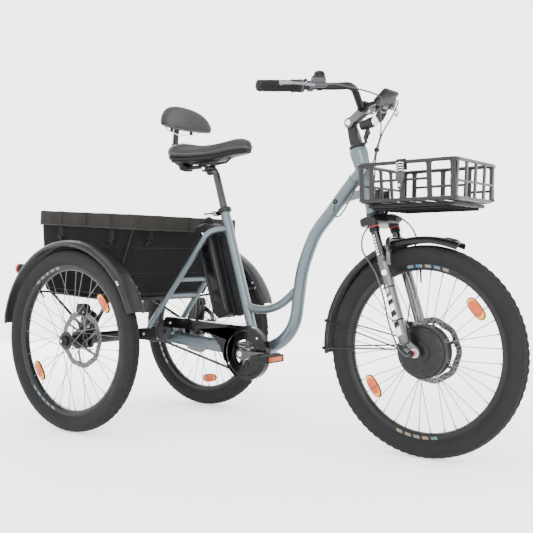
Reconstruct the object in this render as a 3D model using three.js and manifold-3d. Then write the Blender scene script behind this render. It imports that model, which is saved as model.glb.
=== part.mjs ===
// Adult electric cargo tricycle: two 24 inch wheels behind, one hub-motor wheel in a short
// suspension fork in front, a step-through frame, a wire basket and a fabric cargo bag.
// Millimetres. +X is forward, +Y is the rider's left, +Z is up. Every piece is drawn with the
// rear axle at X = 0 and the ground at Z = 0; the whole group then moves so that the origin is
// at the bottom centre of the tricycle's own box.
import * as THREE from "three";
import { mergeVertices } from "three/addons/utils/BufferGeometryUtils.js";
import Module from "manifold-3d";

const wasm = await Module();
wasm.setup();

// ---------------------------------------------------------------- driving dimensions
const GAP = 0.4; // between pieces that touch
const RUNNING = 1.0; // around pieces that turn or slide in one another
const CLEAR = 4; // around pieces that swing past one another

const WHEELBASE = 1162;
const TRACK = 700; // between the centre planes of the rear wheels
const WHEEL_SIDES = 32; // facets of tyres and rims
const TYRE_R = 317;
const TYRE_W = 57;
const RIM_R = 259.5; // outer edge of the rim's flanges
const RIM_BED_R = 250; // where the tyre's beads sit
const RIM_INNER_R = 243;
const RIM_W = 30;
const RIM_WALL = 1.8;
const SPOKES = 36;
const SPOKE_R = 1.4;
const AXLE_Z = TYRE_R * Math.cos(Math.PI / WHEEL_SIDES);

const FORK_REACH = 163; // front axle ahead of the head tube's lower end
const HEAD_BOTTOM = [WHEELBASE - FORK_REACH, 722]; // X, Z where the crown meets the head tube
const HEAD_LENGTH = 222;
const HEAD_ANGLE = THREE.MathUtils.degToRad(16.5); // lean of the steering axis
const HEAD_R = 22;
const HEAD_FLARE = 6; // how much wider the head tube is at its ends
const STEERER_R = 14.3;
const FORK_OFFSET = 19; // legs ahead of the steering axis
const FORK_HALF = 65; // from the middle to each leg
const LEG_R = 17;
const STANCHION_R = 13;
const LEG_TOP = -150; // along the steering axis, from the head tube's lower end
const ARCH_TOP = -80;
const CROWN_H = 30;
const FORK_TRAVEL = 40;
const DROPOUT_HALF = 51; // inner faces of the fork's dropouts

const LIGHT_PIVOT = [HEAD_BOTTOM[0] - 27, 981]; // X, Z of the headlight's tilt axis
const STEM_PIVOT = 306; // along the steering axis, above the head tube's lower end
const STEM_R = 15;
const STEM_ARM = 72;
const STEM_ARM_ANGLE = THREE.MathUtils.degToRad(35.4);
const BAR_R = 11.1;
const BAR_HALF = 350;
const BAR_SWEEP = 164; // how far back the grips end behind the bar's bends
const BAR_RISE = 46;
const BAR_BEND = 118; // half the distance between the bends
const GRIP_R = 17;
const GRIP_LENGTH = 96;
const SHIFTER_LENGTH = 38;

const BB = [538, 278]; // X, Z of the crank axis
const SEAT_ANGLE = THREE.MathUtils.degToRad(16.2); // lean of the seat tube
const SEAT_TUBE_R = 17;
const SEAT_TUBE_WALL = 2.4;
const SEAT_TUBE_TOP = 497; // along the seat tube, from the crank axis
const DOWN_TUBE_R = 21;
const BRACE_R = 14;
const STAY_R = 10;
const STAY_HALF = 72; // from the middle to each seat stay, behind the battery
const CHAIN_STAY_H = 34;
const CHAIN_STAY_W = 12;
const BB_WIDTH = 73;
const CHAIN_STAY_Y = BB_WIDTH / 2 - CHAIN_STAY_W / 2 - 3;
const BB_R = 21;

const CRANK_LENGTH = 152;
const CHAINRING_R = 74;
const HUB_SPROCKET_R = 36;
const CHAIN_LINE = -52; // Y of the long chain
const FINAL_LINE = 50; // Y of the short chain to the axle
const FINAL_SPROCKET_R = 34;
const GEAR_HUB = [152, 334]; // X, Z of the gear hub's axis
const CHAIN_H = 8;
const CHAIN_W = 7;
const PEDAL_LENGTH = 92;
const PEDAL_W = 66;
const PEDAL_H = 24;
const ARM_FACE = 84; // Y of the crank arms' inner faces, either side

const SHAFT_R = 10;
const AXLE_TUBE_R = 20;
const ROTOR_R = 101;
const ROTOR_T = 2;
const HUB_R = 17;
const FLANGE_R = 31;
const HUB_OUT = 46; // hub's outer end, from the wheel's centre plane
const HUB_IN = 38; // hub's inner end
const CARRIER_Y = 286; // middle of the axle's bearing carriers
const CARRIER_T = 14;

const MOTOR_R = 80;
const MOTOR_HALF = 28;

const FENDER_R = 338; // inside of the front fender's crown
const FENDER_T = 3;
const FENDER_W = 66;
const REAR_FENDER_R = 342;
const REAR_FENDER_W = 76;
const FENDER_SIDES = 36;

const BAG_LENGTH = 515;
const BAG_WIDTH = 534;
const BAG_DEPTH = 290;
const BAG_TILT = THREE.MathUtils.degToRad(3.8); // the rack and bag rise to the rear
const BAG_FRONT_TOP = [238, 744]; // X, Z of the bag's front top edge
const BAG_TAPER = 16; // how much the sides and the back pull in at the bottom
const BAG_FRONT_TAPER = 122; // how far the front face slopes back
const BAG_WALL = 4;
const COVER_SKIRT = 52;

const BATTERY_LOW = 142; // along the seat tube
const BATTERY_HIGH = 468;
const BATTERY_NEAR = 51; // behind the seat tube's axis
const BATTERY_FAR = 122;
const BATTERY_W = 88;

const BASKET_REAR = HEAD_BOTTOM[0] + 15;
const BASKET_LENGTH = 317;
const BASKET_WIDTH = 286;
const BASKET_BOTTOM = 752;
const BASKET_TOP = 869;
const BASKET_TAPER = 6;
const BASKET_ROD = 5.5;

const SADDLE_NOSE = 517;
const SADDLE_LENGTH = 318;
const SADDLE_WIDTH = 214;
const SADDLE_TOP = 1008;
const SADDLE_T = 52;
const POST_R = 13.6;
const POST_TOP = 662; // along the seat tube's axis
const SADDLE_PIVOT = [325, 912];
const REST_PIVOT = [222, 925];
const REST_PAD = { x: 190, bottom: 1063, top: 1144, half: 132, thick: 30 };

// ---------------------------------------------------------------- materials
const finish = (color, roughness, metalness) =>
  new THREE.MeshStandardMaterial({ color, roughness, metalness });
const FRAME_PAINT = finish(0x66777c, 0.42, 0.35);
const BLACK_PAINT = finish(0x17181a, 0.5, 0.2);
const GLOSS_BLACK = finish(0x08080a, 0.12, 0);
const BLACK_PLASTIC = finish(0x1d1e20, 0.62, 0);
const TYRE_RUBBER = finish(0x2b2c2e, 0.85, 0);
const GRIP_RUBBER = finish(0x2a2b2c, 0.8, 0);
const STEEL = finish(0xa9adb0, 0.3, 0.9);
const CHROME = finish(0xdfe2e4, 0.08, 1);
const ALLOY = finish(0x8d8f90, 0.35, 0.85);
const FABRIC = finish(0x1f2021, 0.95, 0);
const VINYL = finish(0x2c2d2f, 0.5, 0);
const RED_LENS = finish(0xb0161c, 0.15, 0);
const SCREEN = finish(0x0c0d10, 0.1, 0);

// ---------------------------------------------------------------- solids
// A closed three.js geometry as a manifold solid with its faces pointing out.
function solid(geometry) {
  const bare = geometry.clone();
  bare.deleteAttribute("normal");
  bare.deleteAttribute("uv");
  const merged = mergeVertices(bare, 1e-4);
  const position = merged.attributes.position;
  const kept = [];
  for (let i = 0; i < merged.index.count; i += 3) {
    const a = merged.index.getX(i);
    const b = merged.index.getX(i + 1);
    const c = merged.index.getX(i + 2);
    if (a !== b && b !== c && c !== a) kept.push(a, b, c);
  }
  const make = (triangles) =>
    new wasm.Manifold(
      new wasm.Mesh({
        numProp: 3,
        vertProperties: new Float32Array(position.array),
        triVerts: new Uint32Array(triangles),
      }),
    );
  const made = make(kept);
  if (made.volume() > 0) return made;
  const flipped = [];
  for (let i = 0; i < kept.length; i += 3) flipped.push(kept[i], kept[i + 2], kept[i + 1]);
  return make(flipped);
}

// The manifold solid's surface as a three.js geometry.
function surface(made) {
  const mesh = made.getMesh();
  const points = new Float32Array(mesh.numVert * 3);
  for (let i = 0; i < mesh.numVert; i++) {
    points.set(mesh.vertProperties.subarray(i * mesh.numProp, i * mesh.numProp + 3), i * 3);
  }
  const geometry = new THREE.BufferGeometry();
  geometry.setAttribute("position", new THREE.BufferAttribute(points, 3));
  geometry.setIndex(new THREE.BufferAttribute(new Uint32Array(mesh.triVerts), 1));
  return geometry;
}

const join = (solids) => solids.reduce((whole, next) => whole.add(next));
const cut = (whole, ...tools) => tools.reduce((left, tool) => left.subtract(tool), whole);

const trike = new THREE.Group();
const steering = new THREE.Group(); // its +Z runs up the steering axis
const seatLine = new THREE.Group(); // its +Z runs up the seat tube, its -X points behind it
const bagLine = new THREE.Group(); // its X runs along the tilted rack
trike.add(steering, seatLine, bagLine);

function add(name, made, material, group = trike) {
  const mesh = new THREE.Mesh(surface(made), material);
  mesh.name = name;
  group.add(mesh);
}

// ---------------------------------------------------------------- shape helpers
const at = (x, y, z) => new THREE.Vector3(x, y, z);

function rodGeometry(a, b, radius, sides) {
  const along = b.clone().sub(a);
  const geometry = new THREE.CylinderGeometry(radius, radius, along.length(), sides);
  const turn = new THREE.Quaternion().setFromUnitVectors(at(0, 1, 0), along.normalize());
  geometry.applyQuaternion(turn);
  geometry.translate((a.x + b.x) / 2, (a.y + b.y) / 2, (a.z + b.z) / 2);
  return geometry;
}

const rod = (a, b, radius, sides = 8) => solid(rodGeometry(a, b, radius, sides));

// A round disc or drum whose axis runs along Y.
function drum(x, z, y0, y1, radius, sides = 20) {
  return rod(at(x, y0, z), at(x, y1, z), radius, sides);
}

function box(x0, x1, y0, y1, z0, z1) {
  const geometry = new THREE.BoxGeometry(x1 - x0, y1 - y0, z1 - z0);
  geometry.translate((x0 + x1) / 2, (y0 + y1) / 2, (z0 + z1) / 2);
  return solid(geometry);
}

// A straight bar of rectangular section between two points of the XZ plane, centred at y.
function flatBar(a, b, y, width, height) {
  const length = Math.hypot(b[0] - a[0], b[1] - a[1]);
  const geometry = new THREE.BoxGeometry(length, width, height);
  geometry.rotateY(-Math.atan2(b[1] - a[1], b[0] - a[0]));
  geometry.translate((a[0] + b[0]) / 2, y, (a[1] + b[1]) / 2);
  return solid(geometry);
}

// A round tube along a smooth curve through the points.
function pipe(points, radius, steps, sides = 10) {
  const section = new THREE.Shape();
  for (let i = 0; i < sides; i++) {
    const angle = (2 * Math.PI * i) / sides;
    const place = [radius * Math.cos(angle), radius * Math.sin(angle)];
    if (i === 0) section.moveTo(...place);
    else section.lineTo(...place);
  }
  const path = new THREE.CatmullRomCurve3(points, false, "centripetal");
  return solid(
    new THREE.ExtrudeGeometry(section, { steps, extrudePath: path, bevelEnabled: false }),
  );
}

// A round tube along straight runs, with a ball at each corner.
function polyRod(points, radius, sides = 8) {
  const parts = [];
  for (let i = 1; i < points.length; i++) {
    parts.push(rod(points[i - 1], points[i], radius, sides));
    if (i < points.length - 1) parts.push(ball(points[i], radius * 1.03));
  }
  return join(parts);
}

function ball(centre, radius, width = 8, height = 5) {
  const geometry = new THREE.SphereGeometry(radius, width, height);
  geometry.translate(centre.x, centre.y, centre.z);
  return solid(geometry);
}

// A ring around the Y axis from a closed outline of [radius, y] points.
function ring(outline, sides) {
  const closed = [...outline, outline[0]].map(([r, y]) => new THREE.Vector2(r, y));
  return solid(new THREE.LatheGeometry(closed, sides, Math.PI / sides));
}

// A part of a ring: the sector of the XZ plane from angle a0 to a1, counted from +X up.
function sector(a0, a1, reach, y0, y1) {
  const shape = new THREE.Shape();
  const steps = 10;
  shape.moveTo(0, 0);
  for (let i = 0; i <= steps; i++) {
    const angle = a0 + ((a1 - a0) * i) / steps;
    shape.lineTo(reach * Math.cos(angle), reach * Math.sin(angle));
  }
  return plate(shape, y0, y1);
}

// An outline in the XZ plane, made solid from y0 to y1.
function plate(shape, y0, y1, curveSegments = 6) {
  const settings = { depth: y1 - y0, bevelEnabled: false, curveSegments };
  const geometry = new THREE.ExtrudeGeometry(shape, settings);
  geometry.rotateX(Math.PI / 2);
  geometry.translate(0, y1, 0);
  return solid(geometry);
}

// An outline in the XY plane, made solid from z0 to z1.
function slab(shape, z0, z1, curveSegments = 6) {
  const settings = { depth: z1 - z0, bevelEnabled: false, curveSegments };
  const geometry = new THREE.ExtrudeGeometry(shape, settings);
  geometry.translate(0, 0, z0);
  return solid(geometry);
}

function outline(points) {
  const shape = new THREE.Shape();
  points.forEach(([a, b], i) => (i === 0 ? shape.moveTo(a, b) : shape.lineTo(a, b)));
  return shape;
}

function roundedRectangle(x0, x1, y0, y1, r) {
  const shape = new THREE.Shape();
  shape.moveTo(x0 + r, y0);
  shape.lineTo(x1 - r, y0);
  shape.absarc(x1 - r, y0 + r, r, -Math.PI / 2, 0);
  shape.lineTo(x1, y1 - r);
  shape.absarc(x1 - r, y1 - r, r, 0, Math.PI / 2);
  shape.lineTo(x0 + r, y1);
  shape.absarc(x0 + r, y1 - r, r, Math.PI / 2, Math.PI);
  shape.lineTo(x0, y0 + r);
  shape.absarc(x0 + r, y0 + r, r, Math.PI, 1.5 * Math.PI);
  return shape;
}

const moved = (made, x, y, z) => made.translate([x, y, z]);

// ---------------------------------------------------------------- frames of reference
steering.position.set(HEAD_BOTTOM[0], 0, HEAD_BOTTOM[1]);
steering.rotation.y = -HEAD_ANGLE;
seatLine.position.set(BB[0], 0, BB[1]);
seatLine.rotation.y = -SEAT_ANGLE;
bagLine.position.set(BAG_FRONT_TOP[0], 0, BAG_FRONT_TOP[1]);
bagLine.rotation.y = BAG_TILT;

// X, Z of the point that is x ahead of and z up the steering axis, and the way back.
function fromSteering(x, z) {
  const c = Math.cos(HEAD_ANGLE);
  const s = Math.sin(HEAD_ANGLE);
  return [HEAD_BOTTOM[0] + x * c - z * s, HEAD_BOTTOM[1] + x * s + z * c];
}
function toSteering(x, z) {
  const c = Math.cos(HEAD_ANGLE);
  const s = Math.sin(HEAD_ANGLE);
  const dx = x - HEAD_BOTTOM[0];
  const dz = z - HEAD_BOTTOM[1];
  return [dx * c + dz * s, -dx * s + dz * c];
}
// X, Z of the point t up the seat tube's axis and w behind it.
function fromSeat(t, w = 0) {
  const c = Math.cos(SEAT_ANGLE);
  const s = Math.sin(SEAT_ANGLE);
  return [BB[0] - t * s - w * c, BB[1] + t * c - w * s];
}
function toSeat(x, z) {
  const c = Math.cos(SEAT_ANGLE);
  const s = Math.sin(SEAT_ANGLE);
  const dx = x - BB[0];
  const dz = z - BB[1];
  return { t: -dx * s + dz * c, w: -dx * c - dz * s };
}
const FRONT_AXLE = toSteering(WHEELBASE, AXLE_Z); // x, z in the steering group

// ---------------------------------------------------------------- wheels
function tyre() {
  const half = TYRE_W / 2;
  const bead = RIM_W / 2 - RIM_WALL - GAP;
  return ring(
    [
      [RIM_BED_R + 1, -bead],
      [RIM_R + GAP, -bead],
      [RIM_R + 24, -half],
      [TYRE_R - 13, -half * 0.84],
      [TYRE_R, -half * 0.42],
      [TYRE_R, half * 0.42],
      [TYRE_R - 13, half * 0.84],
      [RIM_R + 24, half],
      [RIM_R + GAP, bead],
      [RIM_BED_R + 1, bead],
      [RIM_BED_R + 1, bead - 5],
      [RIM_R + 30, half - 6],
      [TYRE_R - 11, 0],
      [RIM_R + 30, -half + 6],
      [RIM_BED_R + 1, -bead + 5],
    ],
    WHEEL_SIDES,
  );
}

function rim() {
  const half = RIM_W / 2;
  const inside = half - RIM_WALL;
  return ring(
    [
      [RIM_INNER_R, -half * 0.7],
      [RIM_R, -half],
      [RIM_R, -inside],
      [RIM_BED_R, -inside],
      [RIM_BED_R, inside],
      [RIM_R, inside],
      [RIM_R, half],
      [RIM_INNER_R, half * 0.7],
    ],
    WHEEL_SIDES,
  );
}

// Spokes from two flanges to the rim, left and right by turns.
function spokes(flangeR, flangeY) {
  const reach = RIM_INNER_R * Math.cos(Math.PI / WHEEL_SIDES) - GAP;
  const parts = [];
  for (let i = 0; i < SPOKES; i++) {
    const side = i % 2 === 0 ? 1 : -1;
    const angle = (2 * Math.PI * (i + 0.5)) / SPOKES;
    const foot = at(flangeR * Math.cos(angle), side * flangeY, flangeR * Math.sin(angle));
    const tip = at(reach * Math.cos(angle), side * 3, reach * Math.sin(angle));
    parts.push(rod(foot, tip, SPOKE_R, 3));
  }
  return join(parts);
}

// A brake disc: a braking band, spider arms and a hub seat, around Y.
function rotor(y0, y1, seatR) {
  const band = ring([[ROTOR_R - 16, y0], [ROTOR_R, y0], [ROTOR_R, y1], [ROTOR_R - 16, y1]], 24);
  const arms = [];
  const count = 5;
  for (let i = 0; i < count; i++) {
    const a = (2 * Math.PI * i) / count;
    const b = a + 0.35;
    const foot = [(seatR - 3) * Math.cos(a), (seatR - 3) * Math.sin(a)];
    const tip = [(ROTOR_R - 8) * Math.cos(b), (ROTOR_R - 8) * Math.sin(b)];
    arms.push(flatBar(foot, tip, (y0 + y1) / 2, y1 - y0, 8));
  }
  return join([band, drum(0, 0, y0, y1, seatR, 16), ...arms]);
}

// The rear hub is drawn for the left wheel, its outer end at +Y, and mirrored for the right.
function rearHub(shaftEnd) {
  return join([
    drum(0, 0, -HUB_IN, HUB_OUT, HUB_R, 14),
    drum(0, 0, 23, 27, FLANGE_R, 18),
    drum(0, 0, -27, -23, FLANGE_R, 18),
    spokes(FLANGE_R - 1, 25),
    rotor(-HUB_IN - 8, -HUB_IN - 8 + ROTOR_T, 28),
    drum(0, 0, -HUB_IN - 8, -HUB_IN + 1, 22, 16),
    drum(0, 0, shaftEnd, -HUB_IN, SHAFT_R, 12),
  ]);
}

// The sprocket that drives the left wheel's shaft through its freewheel.
function axleSprocket() {
  const parts = [
    drum(0, AXLE_Z, FINAL_LINE - 1.5, FINAL_LINE + 1.5, FINAL_SPROCKET_R - 6, 20),
    drum(0, AXLE_Z, FINAL_LINE - 6, FINAL_LINE + 7, 17, 14),
  ];
  return cut(join(parts), drum(0, AXLE_Z, 0, 100, SHAFT_R + RUNNING, 14));
}

function rearWheel(side, word) {
  const place = (made) => {
    const facing = side > 0 ? made : made.mirror([0, 1, 0]);
    return moved(facing, 0, (side * TRACK) / 2, AXLE_Z);
  };
  const shaftEnd = side > 0 ? FINAL_LINE - 22 - TRACK / 2 : -150; // the left shaft is driven
  add(`rear_tyre_${word}`, place(tyre()), TYRE_RUBBER);
  add(`rear_rim_${word}`, place(rim()), BLACK_PAINT);
  add(`rear_hub_${word}`, place(rearHub(shaftEnd)), BLACK_PAINT);
}

// A motor drum with its spoke flanges, its axle bore and the brake disc on its left side.
function hubMotor() {
  const flangeY = 17;
  const body = join([
    drum(0, 0, -MOTOR_HALF, MOTOR_HALF, MOTOR_R - 6, 28),
    drum(0, 0, -MOTOR_HALF + 6, MOTOR_HALF - 6, MOTOR_R, 28),
    spokes(MOTOR_R - 3, flangeY),
    rotor(40, 40 + ROTOR_T, 30),
    drum(0, 0, MOTOR_HALF - 1, 41, 24, 16),
    drum(0, 0, -MOTOR_HALF - 5, -MOTOR_HALF + 1, 30, 18),
  ]);
  return cut(body, drum(0, 0, -60, 60, SHAFT_R - 3 + RUNNING, 12));
}

function frontWheel() {
  const place = (made) => moved(made, WHEELBASE, 0, AXLE_Z);
  add("front_tyre", place(tyre()), TYRE_RUBBER);
  add("front_rim", place(rim()), BLACK_PAINT);
  add("front_hub_motor", place(hubMotor()), BLACK_PAINT);
}

// ---------------------------------------------------------------- fenders
// A curved guard around the wheel: a flat crown with two short skirts.
function fenderArc(innerR, width, a0, a1) {
  const half = width / 2;
  const skirt = 16;
  const shell = ring(
    [
      [innerR - skirt, -half],
      [innerR - 3, -half * 0.86],
      [innerR + FENDER_T, -half * 0.4],
      [innerR + FENDER_T, half * 0.4],
      [innerR - 3, half * 0.86],
      [innerR - skirt, half],
      [innerR - skirt, half - FENDER_T],
      [innerR - 6, half * 0.86 - FENDER_T],
      [innerR, half * 0.34],
      [innerR, -half * 0.34],
      [innerR - 6, -half * 0.86 + FENDER_T],
      [innerR - skirt, -half + FENDER_T],
    ],
    FENDER_SIDES,
  );
  return shell.intersect(sector(a0, a1, innerR * 1.5, -width, width));
}

const degrees = THREE.MathUtils.degToRad;

function frontFender() {
  const shell = fenderArc(FENDER_R, FENDER_W, degrees(69), degrees(184));
  const parts = [moved(shell, WHEELBASE, 0, AXLE_Z)];
  for (const side of [-1, 1]) {
    for (const angle of [166, 181]) {
      const a = degrees(angle);
      const tip = at(
        WHEELBASE + (FENDER_R - 4) * Math.cos(a),
        side * (FENDER_W / 2 - 1),
        AXLE_Z + (FENDER_R - 4) * Math.sin(a),
      );
      const foot = at(WHEELBASE - 34, side * (FORK_HALF + LEG_R + 4), AXLE_Z + 12);
      parts.push(rod(tip, foot, 2.5, 5));
    }
  }
  return join(parts);
}

function rearFender(side) {
  const shell = fenderArc(REAR_FENDER_R, REAR_FENDER_W, degrees(18), degrees(172));
  return moved(shell, 0, (side * TRACK) / 2, AXLE_Z);
}

function tailLight(side) {
  const a = degrees(138);
  const reach = REAR_FENDER_R + FENDER_T + GAP + 21;
  const x = reach * Math.cos(a);
  const z = AXLE_Z + reach * Math.sin(a);
  const y = (side * TRACK) / 2;
  const lamp = plate(roundedRectangle(-20, 22, -24, 24, 7), -19, 19, 2);
  const fender = drum(0, AXLE_Z, y - 60, y + 60, REAR_FENDER_R + FENDER_T + 2, 40);
  return cut(moved(lamp, x, y, z), fender);
}

// ---------------------------------------------------------------- welded frame
function headTube() {
  const flare = HEAD_R + HEAD_FLARE;
  const shape = [
    [STEERER_R + RUNNING, 0],
    [flare, 0],
    [flare, 12],
    [HEAD_R + 2, 34],
    [HEAD_R, HEAD_LENGTH * 0.45],
    [HEAD_R + 1, HEAD_LENGTH * 0.62],
    [flare, HEAD_LENGTH - 26],
    [flare + 1, HEAD_LENGTH - 8],
    [flare - 3, HEAD_LENGTH],
    [STEERER_R + RUNNING, HEAD_LENGTH],
  ];
  const closed = [...shape, shape[0]].map(([r, z]) => new THREE.Vector2(r, z));
  const geometry = new THREE.LatheGeometry(closed, 20);
  geometry.rotateX(Math.PI / 2);
  return solid(geometry);
}

// A solid in the frame's own axes that stands for the head tube, to trim what meets it.
function headCutter() {
  const low = fromSteering(0, -4);
  const high = fromSteering(0, HEAD_LENGTH + 4);
  const radius = HEAD_R + HEAD_FLARE + 1 + GAP;
  return rod(at(low[0], 0, low[1]), at(high[0], 0, high[1]), radius, 24);
}

function seatCutter() {
  const low = fromSeat(-BB_R);
  const high = fromSeat(SEAT_TUBE_TOP + 60);
  return rod(at(low[0], 0, low[1]), at(high[0], 0, high[1]), SEAT_TUBE_R + GAP, 18);
}

const shellCutter = () =>
  drum(BB[0], BB[1], -BB_WIDTH / 2 - 1, BB_WIDTH / 2 + 1, BB_R + GAP, 20);

// The upper points follow the head tube, the lower ones the crank.
const DOWN_TUBE_PATH = [
  [HEAD_BOTTOM[0] - 43, 866],
  [HEAD_BOTTOM[0] - 94, 816],
  [HEAD_BOTTOM[0] - 161, 740],
  [780, 676],
  [745, 606],
  [724, 545],
  [711, 470],
  [699, 398],
  [676, 352],
  [640, 318],
  [596, 297],
  [546, 284],
].map(([x, z]) => at(x, 0, z));

function downTube() {
  const tube = pipe(DOWN_TUBE_PATH, DOWN_TUBE_R, 18, 10);
  const [head] = HEAD_BOTTOM;
  const gusset = outline([
    [head - 137, 744],
    [head - 94, 774],
    [head - 37, 778],
    [head - 41, 812],
    [head - 119, 790],
  ]);
  return cut(join([tube, plate(gusset, -5, 5)]), headCutter(), shellCutter(), seatCutter());
}

function seatTube() {
  const tube = rod(at(0, 0, BB_R - 2), at(0, 0, SEAT_TUBE_TOP), SEAT_TUBE_R, 18);
  const collar = join([
    rod(at(0, 0, SEAT_TUBE_TOP - 2), at(0, 0, SEAT_TUBE_TOP + 16), SEAT_TUBE_R + 7, 18),
    box(-SEAT_TUBE_R - 24, -SEAT_TUBE_R, -9, 9, SEAT_TUBE_TOP, SEAT_TUBE_TOP + 14),
  ]);
  const bore = rod(at(0, 0, 60), at(0, 0, 700), POST_R + RUNNING, 18);
  const slot = box(-60, 0, -2, 2, SEAT_TUBE_TOP - 30, SEAT_TUBE_TOP + 30);
  const shell = drum(0, 0, -BB_WIDTH / 2 - 1, BB_WIDTH / 2 + 1, BB_R + GAP, 20);
  return cut(join([tube, collar]), bore, slot, shell);
}

// The rail behind the seat tube that the battery slides down on to.
function batteryRail() {
  const near = SEAT_TUBE_R + GAP;
  const web = box(-BATTERY_NEAR + 8, -near - 2, -9, 9, BATTERY_LOW - 8, BATTERY_HIGH - 44);
  const rail = box(
    -BATTERY_NEAR + 1,
    -BATTERY_NEAR + 9,
    -20,
    20,
    BATTERY_LOW - 4,
    BATTERY_HIGH - 30,
  );
  const feet = [BATTERY_LOW + 20, BATTERY_HIGH - 70].map((z) =>
    box(-near - 3, -near, -7, 7, z, z + 20),
  );
  return join([web, rail, ...feet]);
}

const BRACE_PATH = [
  [500, 430],
  [540, 421],
  [590, 424],
  [640, 442],
  [684, 474],
  [712, 500],
].map(([x, z]) => at(x, 0, z));

function braceTube() {
  const tube = pipe(BRACE_PATH, BRACE_R, 8, 8);
  const downCutter = pipe(DOWN_TUBE_PATH, DOWN_TUBE_R + GAP, 18, 10);
  return cut(tube, seatCutter(), downCutter);
}

const STAY_FOOT = [108, 352];

function seatStays() {
  const top = fromSeat(438, 4);
  const turn = fromSeat(430, 52);
  const bend = fromSeat(404, 82);
  const parts = [];
  for (const side of [-1, 1]) {
    const stay = [
      at(top[0], side * 14, top[1]),
      at((top[0] + turn[0]) / 2, side * 42, (top[1] + turn[1]) / 2 + 6),
      at(turn[0], side * (STAY_HALF - 8), turn[1]),
      at(bend[0], side * STAY_HALF, bend[1]),
      at((bend[0] + STAY_FOOT[0]) / 2, side * (STAY_HALF + 4), (bend[1] + STAY_FOOT[1]) / 2),
      at(STAY_FOOT[0], side * (STAY_HALF + 8), STAY_FOOT[1]),
    ];
    parts.push(pipe(stay, STAY_R, 9, 8));
  }
  for (const share of [0.58, 0.38]) {
    const x = STAY_FOOT[0] + (bend[0] - STAY_FOOT[0]) * share;
    const z = STAY_FOOT[1] + (bend[1] - STAY_FOOT[1]) * share;
    parts.push(rod(at(x, -STAY_HALF, z), at(x, STAY_HALF, z), STAY_R * 0.8, 8));
  }
  const hoop = rod(at(top[0], -16, top[1]), at(top[0], 16, top[1]), STAY_R, 8);
  return cut(join([...parts, hoop]), seatCutter());
}

const STAY_REAR = [104, 313];

function chainStays() {
  const parts = [];
  const sideY = CHAIN_STAY_Y;
  for (const side of [-1, 1]) {
    const front = [BB[0] - 4, BB[1] - 4];
    parts.push(flatBar(STAY_REAR, front, side * sideY, CHAIN_STAY_W, CHAIN_STAY_H));
    const plateShape = outline([
      [STAY_REAR[0] - 14, STAY_REAR[1] - 16],
      [STAY_REAR[0] + 66, STAY_REAR[1] - 14],
      [GEAR_HUB[0] + 26, GEAR_HUB[1] + 26],
      [GEAR_HUB[0] - 34, GEAR_HUB[1] + 28],
      [STAY_REAR[0] - 14, STAY_REAR[1] + 30],
    ]);
    parts.push(plate(plateShape, side * sideY - 4, side * sideY + 4));
  }
  parts.push(box(455, 475, -sideY, sideY, BB[1] - 16, BB[1] + 12));
  parts.push(drum(BB[0], BB[1], -BB_WIDTH / 2, BB_WIDTH / 2, BB_R, 20));
  const bore = drum(BB[0], BB[1], -BB_WIDTH, BB_WIDTH, SHAFT_R + 1 + RUNNING, 16);
  const hubBore = drum(GEAR_HUB[0], GEAR_HUB[1], -90, 90, 7, 12);
  return cut(join(parts), bore, hubBore);
}

// ---------------------------------------------------------------- rear axle and rack
function rearAxleBeam() {
  const armIn = CHAIN_STAY_Y + CHAIN_STAY_W / 2 + GAP;
  const armT = 8;
  const open = [armIn + armT + 1, FINAL_LINE + 10];
  const parts = [
    drum(0, AXLE_Z, -CARRIER_Y, open[0], AXLE_TUBE_R, 14),
    drum(0, AXLE_Z, open[1], CARRIER_Y, AXLE_TUBE_R, 14),
  ];
  for (const side of [-1, 1]) {
    const y = side * CARRIER_Y;
    const shape = outline([
      [-30, -30],
      [30, -30],
      [44, 20],
      [52, 92],
      [-2, 112],
      [-34, 40],
    ]);
    const carrier = plate(shape, y - CARRIER_T / 2, y + CARRIER_T / 2);
    parts.push(moved(carrier, 0, 0, AXLE_Z));
    const discY = side * (TRACK / 2 - HUB_IN - 8 + ROTOR_T / 2);
    const near = [side * (CARRIER_Y - 4), discY + side * 12].sort((p, q) => p - q);
    const caliper = box(-18, 40, near[0], near[1], 82, 122);
    const slot = box(-60, 80, discY - 3, discY + 3, 40, ROTOR_R + 5);
    parts.push(moved(cut(caliper, slot), 0, 0, AXLE_Z));
  }
  // cheeks and a bar behind carry the two tubes past the short chain
  const barX = -FINAL_SPROCKET_R - 28;
  parts.push(box(barX, barX + 16, open[0] - 12, open[1] + 12, AXLE_Z - 14, AXLE_Z + 14));
  for (const y of [open[0] - 6, open[1] + 6]) {
    parts.push(box(barX + 2, 0, y - 6, y + 6, AXLE_Z - 14, AXLE_Z + 14));
  }
  // arms forward to the frame's rear ends
  for (const side of [-1, 1]) {
    const arm = outline([
      [-16, -18],
      [STAY_REAR[0] + 26, -24],
      [STAY_REAR[0] + 30, 0],
      [STAY_REAR[0] - 6, 24],
      [-10, 20],
    ]);
    const faces = [side * armIn, side * (armIn + armT)].sort((p, q) => p - q);
    parts.push(moved(plate(arm, faces[0], faces[1]), 0, 0, AXLE_Z));
  }
  const bore = drum(0, AXLE_Z, -CARRIER_Y - 30, CARRIER_Y + 30, SHAFT_R + RUNNING, 14);
  return cut(join(parts), bore);
}

const RACK_ROD = 8;

// A point of the tricycle's own axes in the tilted axes of the rack and bag.
function onRack(x, y, z) {
  const c = Math.cos(BAG_TILT);
  const s = Math.sin(BAG_TILT);
  const dx = x - BAG_FRONT_TOP[0];
  const dz = z - BAG_FRONT_TOP[1];
  return at(dx * c - dz * s, y, dx * s + dz * c);
}

const BAG_RIM = -5; // the tub's rim, below the cover's top
const BAG_FLOOR = BAG_RIM - BAG_DEPTH;

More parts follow.
